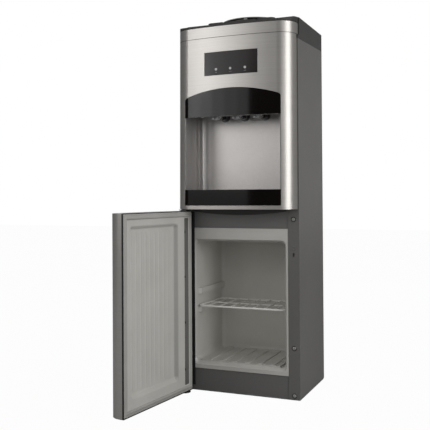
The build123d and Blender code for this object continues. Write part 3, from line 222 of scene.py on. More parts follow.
# %% Painted steel
def painted(slot, dark, light, rough, peel, depth, **fixed):
    """Baked paint. The peel is in grains per metre, and its depth in metres."""
    paint = Finish(slot, **fixed)
    grain = paint.noise(peel, 2.0)
    blend = grain.between(0.3, 0.7) * 0.35 + paint.patches(5.0) * 0.65
    paint.feed("Base Color", paint.mix(blend, dark, light))
    paint.feed("Roughness", rough + grain.between(0.3, 0.75) * 0.08)
    paint.bump(grain, depth, 0.6, 0.0004)


painted("side_paint", screen(95, 94, 92), screen(101, 100, 98), 0.42, 900.0, 0.00008, Specular_IOR_Level=0.3)
painted("frame_paint", screen(94, 93, 92), screen(100, 99, 98), 0.46, 900.0, 0.00008)
painted("black_paint", screen(30, 30, 31), screen(37, 37, 38), 0.4, 500.0, 0.0001)
print("paints:", [name for name in FINISH if name.endswith("paint")])

# %% [markdown]
# Moulded plastics differ in grain and gloss more than in colour. The top has a spark-eroded
# grain, the alcove and collar are smoother, and the refrigerator's liner is drawn from
# polystyrene sheet, so it is slightly wavy and softly shiny. One function makes them all: a
# fine grain, a wide wave, and a faint drift of colour.

# %% Moulded plastics
MOULDED_EDGE = 0.0006
COVER_TONES = (screen(60, 59, 58), screen(65, 64, 63))
ALCOVE_TONES = (screen(207, 203, 200), screen(213, 209, 206))
LINER_TONES = (screen(184, 182, 177), screen(192, 190, 185))
TAP_TONES = (screen(52, 52, 54), screen(60, 60, 62))


def moulded(slot, dark, light, rough, grain_scale, grain_depth, wave=0.0, **fixed):
    """One plastic, with its grains per metre, their depth in metres and the share of the wave."""
    plastic = Finish(slot, **fixed)
    grain = plastic.noise(grain_scale, 2.0, 0.6)
    plastic.feed("Base Color", plastic.mix(plastic.patches(), dark, light))
    plastic.feed("Roughness", rough + grain.between(0.3, 0.7) * 0.07)
    height = grain + plastic.noise(28.0, 1.0) * wave if wave else grain
    plastic.bump(height, grain_depth, 0.7, MOULDED_EDGE)
    return plastic


cover = moulded("dark_cover", *COVER_TONES, 0.45, 1400.0, 0.0001, Specular_IOR_Level=0.2)
alcove = moulded("alcove_grey", *ALCOVE_TONES, 0.26, 1100.0, 0.00002, Metallic=0.55)
liner = moulded("liner_white", *LINER_TONES, 0.3, 700.0, 0.00003, wave=6.0)
moulded("gasket_grey", screen(156, 154, 150), screen(166, 164, 160), 0.6, 1500.0, 0.00004)
moulded("black_plastic", screen(17, 17, 18), screen(22, 22, 23), 0.4, 1300.0, 0.00006)
tap = moulded("tap_grey", *TAP_TONES, 0.12, 900.0, 0.00002, Coat_Weight=0.8)
moulded("tap_blue", screen(28, 32, 44), screen(34, 38, 52), 0.22, 900.0, 0.00002)
moulded("tap_red", screen(46, 28, 27), screen(54, 33, 31), 0.22, 900.0, 0.00002)
moulded("white_nylon", screen(206, 204, 198), screen(214, 212, 206), 0.4, 900.0, 0.00003)
moulded("black_rubber", screen(24, 24, 24), screen(31, 31, 30), 0.72, 1600.0, 0.0001)
moulded("silicone_hose", screen(196, 198, 196), screen(210, 212, 208), 0.3, 500.0, 0.00003)
moulded("rocker_red", screen(150, 26, 22), screen(166, 34, 28), 0.25, 800.0, 0.00002, Coat_Weight=0.3)
moulded("rocker_green", screen(24, 112, 52), screen(32, 126, 62), 0.25, 800.0, 0.00002, Coat_Weight=0.3)
print("plastics:", len(FINISH), "finishes so far")

# %% [markdown]
# Four of these plastics differ from place to place. Inside the refrigerator the liner is painted
# brighter deep in and duller on its rim: painted light and shade, for light that falls unevenly
# into the opening. On the open door, which stands left of the cabinet, the wall of the sunk panel
# is painted darker as painted shade. A tap's spout is of a paler grey than the barrel behind. The
# collar above the cover is paler on its top and outer wall, and the floors of its slots are painted
# black as painted shade. In the alcove a pale band on each corner is a painted reflection of a lamp,
# and the side walls beyond it are painted darker as painted shade. Masks from the coordinates are
# enough, as each stands in one known place.

# %% Liner tones
CABINET_FROM_X = -0.1235
RIM_Y, DEEP_Y = -0.116, -0.03
WALL_FROM_Y, WALL_TO_Y = -0.2085, -0.1985
PANEL_FROM_Z, PANEL_TO_Z = 0.040, 0.427

stain = liner.patches()
# Painted shade: this mask darkens the wall of the door's sunk panel.
wall_painted_shade = liner.axis("Y").band(WALL_FROM_Y, WALL_TO_Y, 0.002)
wall_painted_shade = wall_painted_shade * liner.axis("Z").band(PANEL_FROM_Z, PANEL_TO_Z, 0.007)
door_tone_with_painted_shade = liner.mix(wall_painted_shade * 0.8, liner.mix(stain, *LINER_TONES), screen(150, 148, 144))
# Painted light and shade: the cabinet's liner is painted duller on its rim and brighter deep inside.
rim_painted_shade_tone = liner.mix(stain, screen(176, 174, 169), screen(184, 182, 177))
deep_painted_light_tone = liner.mix(stain, screen(206, 204, 198), screen(212, 210, 204))
cabinet_light_and_shade_tone = liner.mix(liner.axis("Y").between(RIM_Y, DEEP_Y), rim_painted_shade_tone, deep_painted_light_tone)
liner.feed("Base Color", liner.mix(liner.axis("X") > CABINET_FROM_X, door_tone_with_painted_shade, cabinet_light_and_shade_tone))
print("liner: bright from", DEEP_Y, "m")

# %% Spout and alcove tones
SPOUT_TO_Y = -0.112
BACK_TO_X, PAINTED_STREAK_FROM_X, PAINTED_STREAK_TO_X, PAINTED_SHADE_FROM_X = 0.088, 0.100, 0.104, 0.114

haze = tap.patches(60.0, 2.0)
spout_tone = tap.mix(haze, screen(186, 186, 188), screen(204, 204, 206))
tap.feed("Base Color", tap.mix(tap.axis("Y") < SPOUT_TO_Y, tap.mix(haze, *TAP_TONES), spout_tone))
# Painted reflection and shade in the alcove: a pale band on each corner stands for a lamp's streak, and the
# side walls beyond it are painted darker.
aside = abs(alcove.axis("X"))
niche = alcove.mix(alcove.patches(), *ALCOVE_TONES)
niche = alcove.mix(aside.between(BACK_TO_X, PAINTED_STREAK_FROM_X), niche, screen(236, 232, 229))
niche = alcove.mix(aside.between(PAINTED_STREAK_TO_X, PAINTED_SHADE_FROM_X), niche, screen(168, 165, 163))
alcove.feed("Base Color", niche)
print("spout pale in front of", SPOUT_TO_Y, "m")

# %% Collar tones
COLLAR_FROM_Z, PALE_FROM_RADIUS = 0.9371, 0.0742
SLOT_FROM_Z, SLOT_TO_Z, SLOT_FLOOR_RADIUS, SLOT_TOP_RADIUS = 0.9422, 0.9462, 0.0752, 0.0795

high, east, north = cover.axis("Z"), cover.axis("X"), cover.axis("Y")
reach = east * east + north * north
# The collar is paler grey above 937 mm and outside a radius of about 74 mm.
pale_top = (high > COLLAR_FROM_Z) * (reach > PALE_FROM_RADIUS ** 2)
# Painted shade: the floors of the collar's slots are painted near black.
slot_painted_shade = (reach > SLOT_FLOOR_RADIUS ** 2) * (reach < SLOT_TOP_RADIUS ** 2)
slot_painted_shade = slot_painted_shade * (high > SLOT_FROM_Z) * (high < SLOT_TO_Z)
mottle = cover.patches()
pale_top_tone = cover.mix(mottle, screen(122, 121, 119), screen(134, 133, 131))
cover_tone = cover.mix(pale_top, cover.mix(mottle, *COVER_TONES), pale_top_tone)
cover.feed("Base Color", cover.mix(slot_painted_shade, cover_tone, screen(10, 10, 10)))
print("collar worn outside", PALE_FROM_RADIUS, "m")

# %% [markdown]
# The hood and the band of the tray are piano black: nearly no colour and almost no grain, so
# that they mirror the lamps with sharp edges. The window over the lights is the same plastic,
# smoked, and a little less sharp.

# %% Black gloss, window and lenses
for slot, level, rough in (("black_gloss", 6, 0.09), ("window_gloss", 24, 0.15)):
    gloss = Finish(slot, IOR=1.5, Specular_IOR_Level=0.3)
    swirl = gloss.noise(180.0, 2.0)
    dark, light = screen(level + 5, level + 1, level), screen(level + 8, level + 4, level + 3)
    gloss.feed("Base Color", gloss.mix(swirl.between(0.4, 0.7) * 0.4, dark, light))
    gloss.feed("Roughness", rough + swirl.between(0.45, 0.8) * 0.03)
    gloss.bump(gloss.noise(30.0, 1.0), 0.00003, 0.25, 0.0005)

lens = Finish("lens_clear", IOR=1.49, Coat_Weight=0.6)
frost = lens.noise(900.0, 1.0)
lens.feed("Base Color", lens.mix(frost.between(0.3, 0.7), screen(168, 168, 168), screen(190, 190, 190)))
lens.feed("Roughness", 0.12 + frost.between(0.3, 0.7) * 0.1)
lens.bump(frost, 0.00005, 0.4)
print("gloss and lens ready")

# %% [markdown]
# Behind the covers are bare metals and foam. Zinc plate shows large pale crystals, which a
# texture of cells gives; rolled stainless and aluminium show long faint lines; copper darkens in
# patches. Foam is matt, with pores that dent it.

# %% Rolled metals
def rolled(slot, dark, light, rough, stretch):
    """Bare metal: faint lines drawn out by the stretch, and wide patches of tone."""
    sheet = Finish(slot, Metallic=1.0)
    line = sheet.noise(1.0, 3.0, 0.6, sheet.stretched(*stretch))
    sheet.feed("Base Color", sheet.mix(sheet.patches(30.0), dark, light))
    sheet.feed("Roughness", rough + line.between(0.3, 0.7) * 0.15)
    sheet.bump(line, 0.00003, 0.4, 0.0004)


rolled("stainless", screen(190, 190, 188), screen(204, 203, 200), 0.25, (400, 400, 20))
rolled("aluminium_plate", screen(196, 198, 200), screen(208, 209, 210), 0.35, (15, 400, 500))
rolled("copper", screen(176, 104, 72), screen(206, 132, 98), 0.3, (300, 300, 300))
rolled("screw_zinc", screen(176, 176, 172), screen(196, 195, 190), 0.3, (700, 700, 700))
print("metals rolled")

# %% Zinc sheet and foam
zinc = Finish("zinc_sheet", Metallic=0.85)
spangle = zinc.node("ShaderNodeTexVoronoi", None, {"Vector": zinc.place, "Scale": 110.0}, "Color")
grey = zinc.node("ShaderNodeSeparateColor", None, {0: spangle})
zinc.feed("Base Color", zinc.mix(grey, screen(150, 152, 154), screen(182, 184, 186)))
zinc.feed("Roughness", 0.32 + grey * 0.2)
zinc.bump(grey, 0.00002, 0.4, 0.0004)

foam = Finish("foam_yellow")
pores = foam.node("ShaderNodeTexVoronoi", None, {"Vector": foam.place, "Scale": 420.0})
foam.feed("Base Color", foam.mix(pores.between(0.1, 0.7), screen(206, 184, 120), screen(226, 208, 152)))
foam.feed("Roughness", 0.85 + pores * 0.1)
foam.bump(pores, 0.0006, 0.8)
print("zinc and foam ready")

# %% Dipped wire and board
wire = Finish("white_wire", Coat_Weight=0.35, Coat_Roughness=0.15)
dip = wire.noise(500.0, 2.0)
wire.feed("Base Color", wire.mix(dip.between(0.3, 0.7), screen(226, 225, 220), screen(240, 239, 234)))
wire.feed("Roughness", 0.3 + dip.between(0.3, 0.7) * 0.12)
wire.bump(dip, 0.00008, 0.5)

board = Finish("board_green", Coat_Weight=0.3)
bricks = {"Color1": screen(26, 84, 48), "Color2": screen(34, 98, 58), "Mortar": screen(122, 104, 58)}
bricks = {name: (*colour, 1.0) for name, colour in bricks.items()}
bricks.update({"Vector": board.place, "Scale": 260.0, "Mortar Size": 0.06})
board.feed("Base Color", board.node("ShaderNodeTexBrick", {"offset": 0.5}, bricks))
board.feed("Roughness", 0.4 + board.noise(300.0) * 0.1)
print("finishes:", len(FINISH))

# %% [markdown]
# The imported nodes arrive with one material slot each, named for the finish in the record. Each
# slot gets the finish of that name. A node that is remade further down is hidden then, so its
# finish costs nothing.

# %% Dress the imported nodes
for name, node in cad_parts.items():
    for slot in node.material_slots:
        slot.material = FINISH[slot.material.name.split(".")[0]].material
print("dressed", len(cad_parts), "nodes")

# %% [markdown]
# Remade pieces come from a few mesh helpers. All take millimetres in the frame of the CAD and
# put the place into the mesh, so that the object stays at the origin. Pieces of the door are
# drawn closed, where its face is square to the axes, and then turned to where it stands open.

# %% Mesh helpers
HINGE = Vector((-140.0, -142.0, 0.0))
OPEN_ANGLE = math.radians(-96.5)
DOOR_TURN = Matrix.Translation(HINGE) @ Matrix.Rotation(OPEN_ANGLE, 4, "Z") @ Matrix.Translation(-HINGE)


def add_piece(name, body, slot, form, stands_for=(), turn=None, sharp=35.0):
    """Piece of the object from a form: points in millimetres, and faces."""
    points, faces = form
    if turn is not None:
        points = [turn @ Vector(p) for p in points]
    mesh = bpy.data.meshes.new(name)
    mesh.from_pydata([Vector(p) * MM for p in points], [], faces)
    mesh.validate()
    return place_mesh(name, body, slot, mesh, stands_for, sharp)


def place_mesh(name, body, slot, mesh, stands_for, sharp):
    """Piece of the object from a mesh in metres. Edges sharper than the angle stay sharp."""
    mesh.name = name
    mesh.materials.clear()
    mesh.materials.append(FINISH[slot].material)
    mesh.polygons.foreach_set("use_smooth", [True] * len(mesh.polygons))
    mesh.set_sharp_from_angle(angle=math.radians(sharp))
    mesh.update()
    piece = bpy.data.objects.new(name, mesh)
    scene.collection.objects.link(piece)
    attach(piece, body)
    if stands_for:
        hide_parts(*stands_for)
    return piece


def skin_loops(loops, close_ends=True):
    """Faces between closed loops of points that follow one another."""
    count = len(loops[0])
    faces = []
    for i in range(len(loops) - 1):
        a, b = i * count, (i + 1) * count
        for j in range(count):
            k = (j + 1) % count
            faces.append((a + j, a + k, b + k, b + j))
    if close_ends:
        faces.append(tuple(range(count - 1, -1, -1)))
        last = (len(loops) - 1) * count
        faces.append(tuple(range(last, last + count)))
    return [p for loop in loops for p in loop], faces


def flipped(form):
    """The same points, with the faces turned round."""
    points, faces = form
    return points, [face[::-1] for face in faces]


def joined(*forms):
    """Several forms in one."""
    points, faces = [], []
    for some, more in forms:
        start = len(points)
        points += some
        faces += [tuple(i + start for i in face) for face in more]
    return points, faces


print("door stands open", round(-math.degrees(OPEN_ANGLE), 1), "degrees")

# %% [markdown]
# Turned shapes, such as a tap's barrel or the collar of the bottle, are a profile of radius and
# height swept round an axis. Rounding the profile's corners before the sweep is what makes them
# look moulded, because every edge then catches a thin line of light.

# %% Turned shapes
def rounded_profile(points, radius, steps=4):
    """Profile with its inner corners replaced by short arcs."""
    result = [Vector(points[0])]
    for before, here, after in zip(points, points[1:], points[2:]):
        p, q, r = Vector(before), Vector(here), Vector(after)
        cut = min(radius, (p - q).length * 0.45, (r - q).length * 0.45)
        start, end = q + (p - q).normalized() * cut, q + (r - q).normalized() * cut
        for i in range(steps + 1):
            t = i / steps
            result.append(start * (1 - t) ** 2 + q * (2 * t * (1 - t)) + end * t ** 2)
    result.append(Vector(points[-1]))
    return result


def turned(profile, centre, axis="Z", sides=48):
    """Profile of (radius, distance along the axis) swept round it. Closed at both ends."""
    loops = []
    for radius, along in profile:
        loop = []
        for j in range(sides):
            a = 2 * math.pi * j / sides
            u, v = radius * math.cos(a), radius * math.sin(a)
            local = {"Z": (u, v, along), "Y": (u, along, -v), "X": (along, u, v)}[axis]
            loop.append(Vector(centre) + Vector(local))
        loops.append(loop)
    return skin_loops(loops)


print("turned shapes ready")

# %% Rounded bars
SMALLEST_RADIUS = 0.02


def rounded_rectangle(u0, u1, v0, v1, radius, steps):
    """Points of a rectangle with round corners, anticlockwise from its right side."""
    corners = ((u1 - radius, v1 - radius, 0), (u0 + radius, v1 - radius, 90),
               (u0 + radius, v0 + radius, 180), (u1 - radius, v0 + radius, 270))
    points = []
    for cu, cv, start in corners:
        for i in range(steps + 1):
            a = math.radians(start + 90 * i / steps)
            points.append((cu + radius * math.cos(a), cv + radius * math.sin(a)))
    return points


def rounded_bar(x0, x1, y0, y1, z0, z1, radius, steps=3):
    """Box with all its edges rounded: loops of a rounded rectangle that close at both ends."""
    loops = []
    ends = [math.pi / 2 * i / steps for i in range(steps + 1)]
    for low in (True, False):
        for a in (ends if low else ends[::-1]):
            inset = radius * (1 - math.sin(a))
            rise = radius * (1 - math.cos(a))
            z = z0 + rise if low else z1 - rise
            r = max(radius - inset, SMALLEST_RADIUS)
            plan = rounded_rectangle(x0 + inset, x1 - inset, y0 + inset, y1 - inset, r, steps)
            loops.append([(x, y, z) for x, y in plan])
    return skin_loops(loops)


print("bars have radii from", SMALLEST_RADIUS, "mm")

# %% [markdown]
# Door, inner face. On the real door it is one vacuum-formed sheet: a flat rim, a wide sunk panel
# with upright flutes, and a narrow channel on the hinge side. Boxes with cut edges would look
# hard. A height field suits it, because a formed sheet has one depth at each place. Each
# feature is a rounded rectangle, and the distance to its outline gives a soft wall.

# %% Door inner face
RIM_PLANE, SHEET = -124.5, 1.4
DOOR_HALF, DOOR_LOW, DOOR_HIGH = 150.5, 5.4, 454.6
PANEL_LEFT, PANEL_RIGHT, PANEL_LOW, PANEL_HIGH, PANEL_CORNER = -84, 125, 40, 427, 12
PANEL_DEPTH, PANEL_SLOPE = 8.0, 8.5
CHANNEL = (-137.5, -115, 20, 440, 5)
CHANNEL_DEPTH, CHANNEL_SLOPE = 5.0, 3.2
FLUTES, FLUTE_PITCH, FLUTE_HALF, FLUTE_HEIGHT = 10, 19.5, 4.2, 0.85
FLUTE_END_GAP, FLUTE_RUNOUT = 12, 10
ROLL_RADIUS, ROLL_DEPTH = 2.0, 1.6


def soft_step(t):
    t = max(0.0, min(1.0, t))
    return t * t * (3 - 2 * t)


def inside(x, z, x0, x1, z0, z1, corner):
    """Distance into a rounded rectangle, negative outside it."""
    cx, cz = (x0 + x1) / 2, (z0 + z1) / 2
    dx, dz = abs(x - cx) - ((x1 - x0) / 2 - corner), abs(z - cz) - ((z1 - z0) / 2 - corner)
    outside = math.hypot(max(dx, 0.0), max(dz, 0.0))
    return corner - outside - min(max(dx, dz), 0.0)


def flute_height(x, z):
    """Height of the upright flutes above the floor of the panel."""
    middle = (PANEL_LEFT + PANEL_RIGHT) / 2
    off = min(abs(x - middle - (i - (FLUTES - 1) / 2) * FLUTE_PITCH) for i in range(FLUTES))
    if off >= FLUTE_HALF:
        return 0.0
    low, high = PANEL_LOW + FLUTE_END_GAP, PANEL_HIGH - FLUTE_END_GAP
    rise = soft_step((z - low) / FLUTE_RUNOUT) * soft_step((high - z) / FLUTE_RUNOUT)
    return FLUTE_HEIGHT * math.cos(off / FLUTE_HALF * math.pi / 2) ** 2 * rise


def formed_depth(x, z):
    """Depth of the formed sheet below its rim, in millimetres."""
    panel_in = inside(x, z, PANEL_LEFT, PANEL_RIGHT, PANEL_LOW, PANEL_HIGH, PANEL_CORNER)
    panel = soft_step(panel_in / PANEL_SLOPE) * PANEL_DEPTH
    channel = soft_step(inside(x, z, *CHANNEL) / CHANNEL_SLOPE) * CHANNEL_DEPTH
    edge = min(DOOR_HALF - abs(x), z - DOOR_LOW, DOOR_HIGH - z, ROLL_RADIUS)
    roll = (1 - math.sqrt(max(0.0, 1 - (1 - edge / ROLL_RADIUS) ** 2))) * ROLL_DEPTH
    return panel + channel - flute_height(x, z) + roll


def spread(*runs):
    """Places along a line: each run is (start, end, step)."""
    places = []
    for start, end, step in runs:
        count = max(1, round((end - start) / step))
        places += [start + (end - start) * i / count for i in range(count)]
    return places + [runs[-1][1]]


across = spread((-DOOR_HALF, -148, 0.5), (-148, -112, 1.3), (-112, -86, 2.4), (-86, 127, 1.25),
                (127, 148, 3.0), (148, DOOR_HALF, 0.5))
up = spread((DOOR_LOW, 8, 0.5), (8, 18, 2.5), (18, 66, 1.8), (66, 401, 14.0), (401, 443, 1.8),
            (443, 452, 2.4), (452, DOOR_HIGH, 0.5))
points = [(x, RIM_PLANE - formed_depth(x, z), z) for z in up for x in across]
width = len(across)
faces = [(i + j * width, i + (j + 1) * width, i + 1 + (j + 1) * width, i + 1 + j * width)
         for j in range(len(up) - 1) for i in range(width - 1)]
inner_face = add_piece("door_inner_face", "door", "liner_white", (points, faces), ("door_liner",),
                       DOOR_TURN, 60.0)
wall = inner_face.modifiers.new("sheet", "SOLIDIFY")
wall.thickness, wall.offset = SHEET * MM, -1.0
print("door inner face:", len(points), "points")

# %% [markdown]
# Door gasket. It is extruded PVC: a foot, a thin bellows and a bulb with the magnet. A closed
# ring of one profile is enough, so the profile is drawn once across the strip and lofted round
# the door's rounded rectangle. The grooves between foot and bulb give the fine dark lines.

# %% Door gasket
GASKET_HALF, GASKET_LOW, GASKET_HIGH = 151.0, 6.0, 454.0
GASKET_CORNER, INNER_CORNER, GASKET_FOOT = 4.0, 1.2, 0.05


def upright_loop(half, low, high, y, corner, steps):
    """Rounded rectangle parallel to the face of the door."""
    return [(x, y, z) for x, z in rounded_rectangle(-half, half, low, high, corner, steps)]


gasket_profile = [(1.1, 0.0), (1.5, 0.45), (2.4, 0.7), (3.4, 0.75), (4.1, 0.5), (4.8, 0.9), (6.4, 2.0),
                  (7.6, 2.7), (9.2, 2.8), (10.6, 2.7), (11.4, 2.1), (11.6, 1.3), (12.1, 0.9),
                  (12.7, 0.6), (13.0, 0.0)]
loops = [upright_loop(GASKET_HALF - inset, GASKET_LOW + inset, GASKET_HIGH - inset,
                      RIM_PLANE + GASKET_FOOT + rise, max(GASKET_CORNER - inset, INNER_CORNER), 7)
         for inset, rise in gasket_profile]
points, faces = skin_loops(loops, close_ends=False)
count = len(loops[0])
last = len(points) - count
faces += [(last + j, last + (j + 1) % count, (j + 1) % count, j) for j in range(count)]
add_piece("door_gasket_strip", "door", "gasket_grey", flipped((points, faces)), ("door_gasket",),
          DOOR_TURN, 50.0)
print("gasket:", len(gasket_profile), "points across")

# %% [markdown]
# Dark parts of the door. A black band round the door's edge, over the joint between the steel skin
# and the formed sheet, is painted shade: it stands for the shadow in the gap beside the gasket. The
# channel on the hinge side holds a grey insert, pressed home by four small clips. Both read as dark
# lines beside the pale plastic, so they matter more than their size suggests.

# %% Door band and channel insert
BAND_HALF, BAND_LOW, BAND_HIGH, BAND_CORNER = 152, 4, 456, 1.6
CLIP_HEIGHTS, CLIP_HALF = (404, 292, 178, 61), 2.6

# The black band is painted shade, for the shadow in the gap between the door's skin and its gasket.
band_profile = [(0.0, -127.6), (0.22, -127.4), (0.22, -124.5), (0.0, -124.2), (-1.6, -124.2),
                (-1.6, -125.0)]
loops = [upright_loop(BAND_HALF + grow, BAND_LOW - grow, BAND_HIGH + grow, y, BAND_CORNER, 4)
         for grow, y in band_profile]
band = flipped(skin_loops(loops + [loops[0]], close_ends=False))
insert = rounded_bar(-137.0, -115.6, -129.3, -125.6, 21.5, 438.5, 1.2)
clips = [rounded_bar(-118.6, -115.4, -127.2, -123.6, z - CLIP_HALF, z + CLIP_HALF, 0.9)
         for z in CLIP_HEIGHTS]
add_piece("door_edge_band", "door", "black_rubber", band, turn=DOOR_TURN, sharp=40.0)
add_piece("door_channel_insert", "door", "side_paint", insert, turn=DOOR_TURN)
add_piece("door_channel_clips", "door", "black_rubber", joined(*clips), turn=DOOR_TURN)
print("clips:", len(clips))

# %% [markdown]
# Wires and tubes follow paths: the welded shelf, the condenser and its stiffening wires. One
# Geometry Nodes tree serves them all. It reads a mesh of bare edges as paths, rounds their
# corners with Fillet Curve, sweeps a circle of the named size and closes the ends. It ends in
# Realize Instances and Set Material, and the result is kept as a plain mesh.

# %% Tube tree
def new_tree(name, **sockets):
    """Empty Geometry Nodes tree with named inputs: their identifiers, and their values."""
    tree = bpy.data.node_groups.new(name, "GeometryNodeTree")
    for way in ("INPUT", "OUTPUT"):
        tree.interface.new_socket("Geometry", in_out=way, socket_type="NodeSocketGeometry")
    pins = {}
    for label, kind in sockets.items():
        pin = tree.interface.new_socket(label, in_out="INPUT", socket_type="NodeSocket" + kind)
        pins[label] = pin.identifier
    start = tree.nodes.new("NodeGroupInput")
    values = {label: Value(tree, start.outputs[label]) for label in ("Geometry", *sockets)}
    return tree, pins, values


def end_tree(tree, geometry, material):
    real = add_node(tree, "GeometryNodeRealizeInstances", None, {0: geometry})
    done = add_node(tree, "GeometryNodeSetMaterial", None, {"Geometry": real, "Material": material})
    out = tree.nodes.new("NodeGroupOutput")
    tree.links.new(done.socket, out.inputs[0])


tube_tree, tube_pins, given = new_tree("tube_on_paths", Radius="Float", Corner="Float", Sides="Int",
                                       Finish="Material")
curve = add_node(tube_tree, "GeometryNodeMeshToCurve", None, {0: given["Geometry"]})
curve = add_node(tube_tree, "GeometryNodeFilletCurve", {"mode": "POLY"},
                 {"Curve": curve, "Count": 6, "Radius": given["Corner"], "Limit Radius": True})
circle = add_node(tube_tree, "GeometryNodeCurvePrimitiveCircle", None,
                  {"Resolution": given["Sides"], "Radius": given["Radius"]})
tube = add_node(tube_tree, "GeometryNodeCurveToMesh", None, {0: curve, 1: circle, "Fill Caps": True})
end_tree(tube_tree, tube, given["Finish"])
print("tube tree:", len(tube_tree.nodes), "nodes")

# %% Running a tree
def run_tree(name, tree, pins, mesh, **values):
    """Evaluates a tree on a mesh once, and gives back the plain mesh."""
    carrier = bpy.data.objects.new(name + "_carrier", mesh)
    scene.collection.objects.link(carrier)
    modifier = carrier.modifiers.new("nodes", "NODES")
    modifier.node_group = tree
    for label, value in values.items():
        modifier[pins[label]] = value
    graph = bpy.context.evaluated_depsgraph_get()
    result = bpy.data.meshes.new_from_object(carrier.evaluated_get(graph), depsgraph=graph)
    bpy.data.objects.remove(carrier)
    return result


def one_mesh(name, meshes):
    """Meshes in one. The single ones are removed."""
    forms = []
    for mesh in meshes:
        forms.append(([v.co.copy() for v in mesh.vertices], [tuple(p.vertices) for p in mesh.polygons]))
        bpy.data.meshes.remove(mesh)
    points, faces = joined(*forms)
    whole = bpy.data.meshes.new(name)
    whole.from_pydata(points, [], faces)
    return whole


def paths_mesh(name, paths):
    """Edges along each path. A path whose last point repeats its first is closed."""
    points, edges = [], []
    for path in paths:
        start = len(points)
        closed = path[0] == path[-1]
        body = path[:-1] if closed else path
        points += [Vector(p) * MM for p in body]
        edges += [(start + i, start + i + 1) for i in range(len(body) - 1)]
        if closed:
            edges.append((start + len(body) - 1, start))
    mesh = bpy.data.meshes.new(name)
    mesh.from_pydata(points, edges, [])
    return mesh


def tubes(name, body, slot, lots, stands_for):
    """Piece of tubes and wires: each lot is (paths, radius, corner, sides)."""
    results = [run_tree(name, tube_tree, tube_pins, paths_mesh(name + "_paths", paths), Radius=radius * MM,
                        Corner=corner * MM, Sides=sides, Finish=FINISH[slot].material)
               for paths, radius, corner, sides in lots]
    return place_mesh(name, body, slot, one_mesh(name, results), stands_for, 50.0)


print("trees run on paths and points")

# %% [markdown]
# Wire shelf. A frame of thick wire is bent round, with its ends butted, and thinner wires are
# spot-welded across it. Dipped in plastic, the welds gain small soft lumps where wires cross.
# The paths are the wires' centre lines, and short fatter pieces stand for those lumps.

# %% Wire shelf
SHELF_HALF, SHELF_FRONT, SHELF_BACK = 113.1, -104, 50
LONG_WIRES, WIRE_PITCH, WIRE_OVERHANG = 7, 29.9, 0.3
CROSS_WIRE_Y, WELD_ROWS, WELD_HALF = -27, (-102.6, 48.6), 2.2
z_frame, z_long, z_cross, z_weld = 212.7, 213.5, 211.9, 213.0

corners = [(-SHELF_HALF, SHELF_FRONT), (SHELF_HALF, SHELF_FRONT), (SHELF_HALF, SHELF_BACK),
           (-SHELF_HALF, SHELF_BACK)]
frame_loop = [(x, y, z_frame) for x, y in corners + corners[:1]]
wire_places = [(i - (LONG_WIRES - 1) // 2) * WIRE_PITCH for i in range(LONG_WIRES)]
long_wires = [[(x, SHELF_FRONT - WIRE_OVERHANG, z_long), (x, SHELF_BACK + WIRE_OVERHANG, z_long)]
              for x in wire_places]
cross_wire = [[(-SHELF_HALF, CROSS_WIRE_Y, z_cross), (SHELF_HALF, CROSS_WIRE_Y, z_cross)]]
welds = [[(x, y - WELD_HALF, z_weld), (x, y + WELD_HALF, z_weld)] for x in wire_places for y in WELD_ROWS]
shelf = tubes("wire_shelf_dipped", "shelf", "white_wire",
              [([frame_loop], 2.4, 9.0, 12), (long_wires, 1.6, 0.0, 10), (cross_wire, 1.6, 0.0, 10),
               (welds, 2.1, 0.0, 8)], ("wire_shelf",))
print("shelf faces:", len(shelf.data.polygons))

# %% [markdown]
# Condenser. A steel tube snakes over the back, and thin upright wires are welded to both its
# sides to shed heat. The tube follows its centre line; its bends are arcs of half the pitch, so
# Fillet Curve with that radius turns each pair of corners into a half circle.

# %% Condenser
CONDENSER_Y, OUTLET_X, OUTLET_Z = 138, -30, 153.2
PASSES, LOWEST_PASS, PASS_PITCH, PASS_REACH, LAST_REACH = 9, 192, 30, 110, 95
FINS, FIN_PITCH, FIN_OFFSET, FIN_LOW, FIN_HIGH = 15, 12.4, 3.55, 183, 441


def snake():
    """Centre line of the condenser tube, from the compressor up through its passes."""
    line = [(OUTLET_X, CONDENSER_Y, OUTLET_Z), (OUTLET_X, CONDENSER_Y, LOWEST_PASS)]
    for i in range(PASSES):
        z, sign = LOWEST_PASS + PASS_PITCH * i, 1 if i % 2 == 0 else -1
        if i == PASSES - 1:
            line.append((sign * LAST_REACH, CONDENSER_Y, z))
        else:
            line += [(sign * PASS_REACH, CONDENSER_Y, z), (sign * PASS_REACH, CONDENSER_Y, z + PASS_PITCH)]
    return line


tubes("condenser_snake", "cabinet", "black_paint", [([snake()], 2.6, 14.9, 14)], ("condenser_tube",))
fin_places = [((i - (FINS - 1) // 2) * FIN_PITCH, CONDENSER_Y + side * FIN_OFFSET)
              for i in range(FINS) for side in (-1, 1)]
fins = [[(x, y, FIN_LOW), (x, y, FIN_HIGH)] for x, y in fin_places]
tubes("condenser_fins", "cabinet", "black_paint", [(fins, 0.9, 0.0, 8)], ("condenser_wires",))
print("condenser:", len(fins), "wires")

# %% [markdown]
# Screws. All are the same pan-head screw, so one head is modelled and a Geometry Nodes tree sets
# it on every point, turned to face the front or the rear. The head is a dome with a cross
# recess: the dome is turned, and the cross is pressed in by lowering the points inside it.

# %% Screw head
HEAD_RADIUS, HEAD_HEIGHT = 4.2, 1.3
RECESS_HALF_SHARE, RECESS_REACH_SHARE, RECESS_DEPTH_SHARE = 0.13, 0.55, 0.55


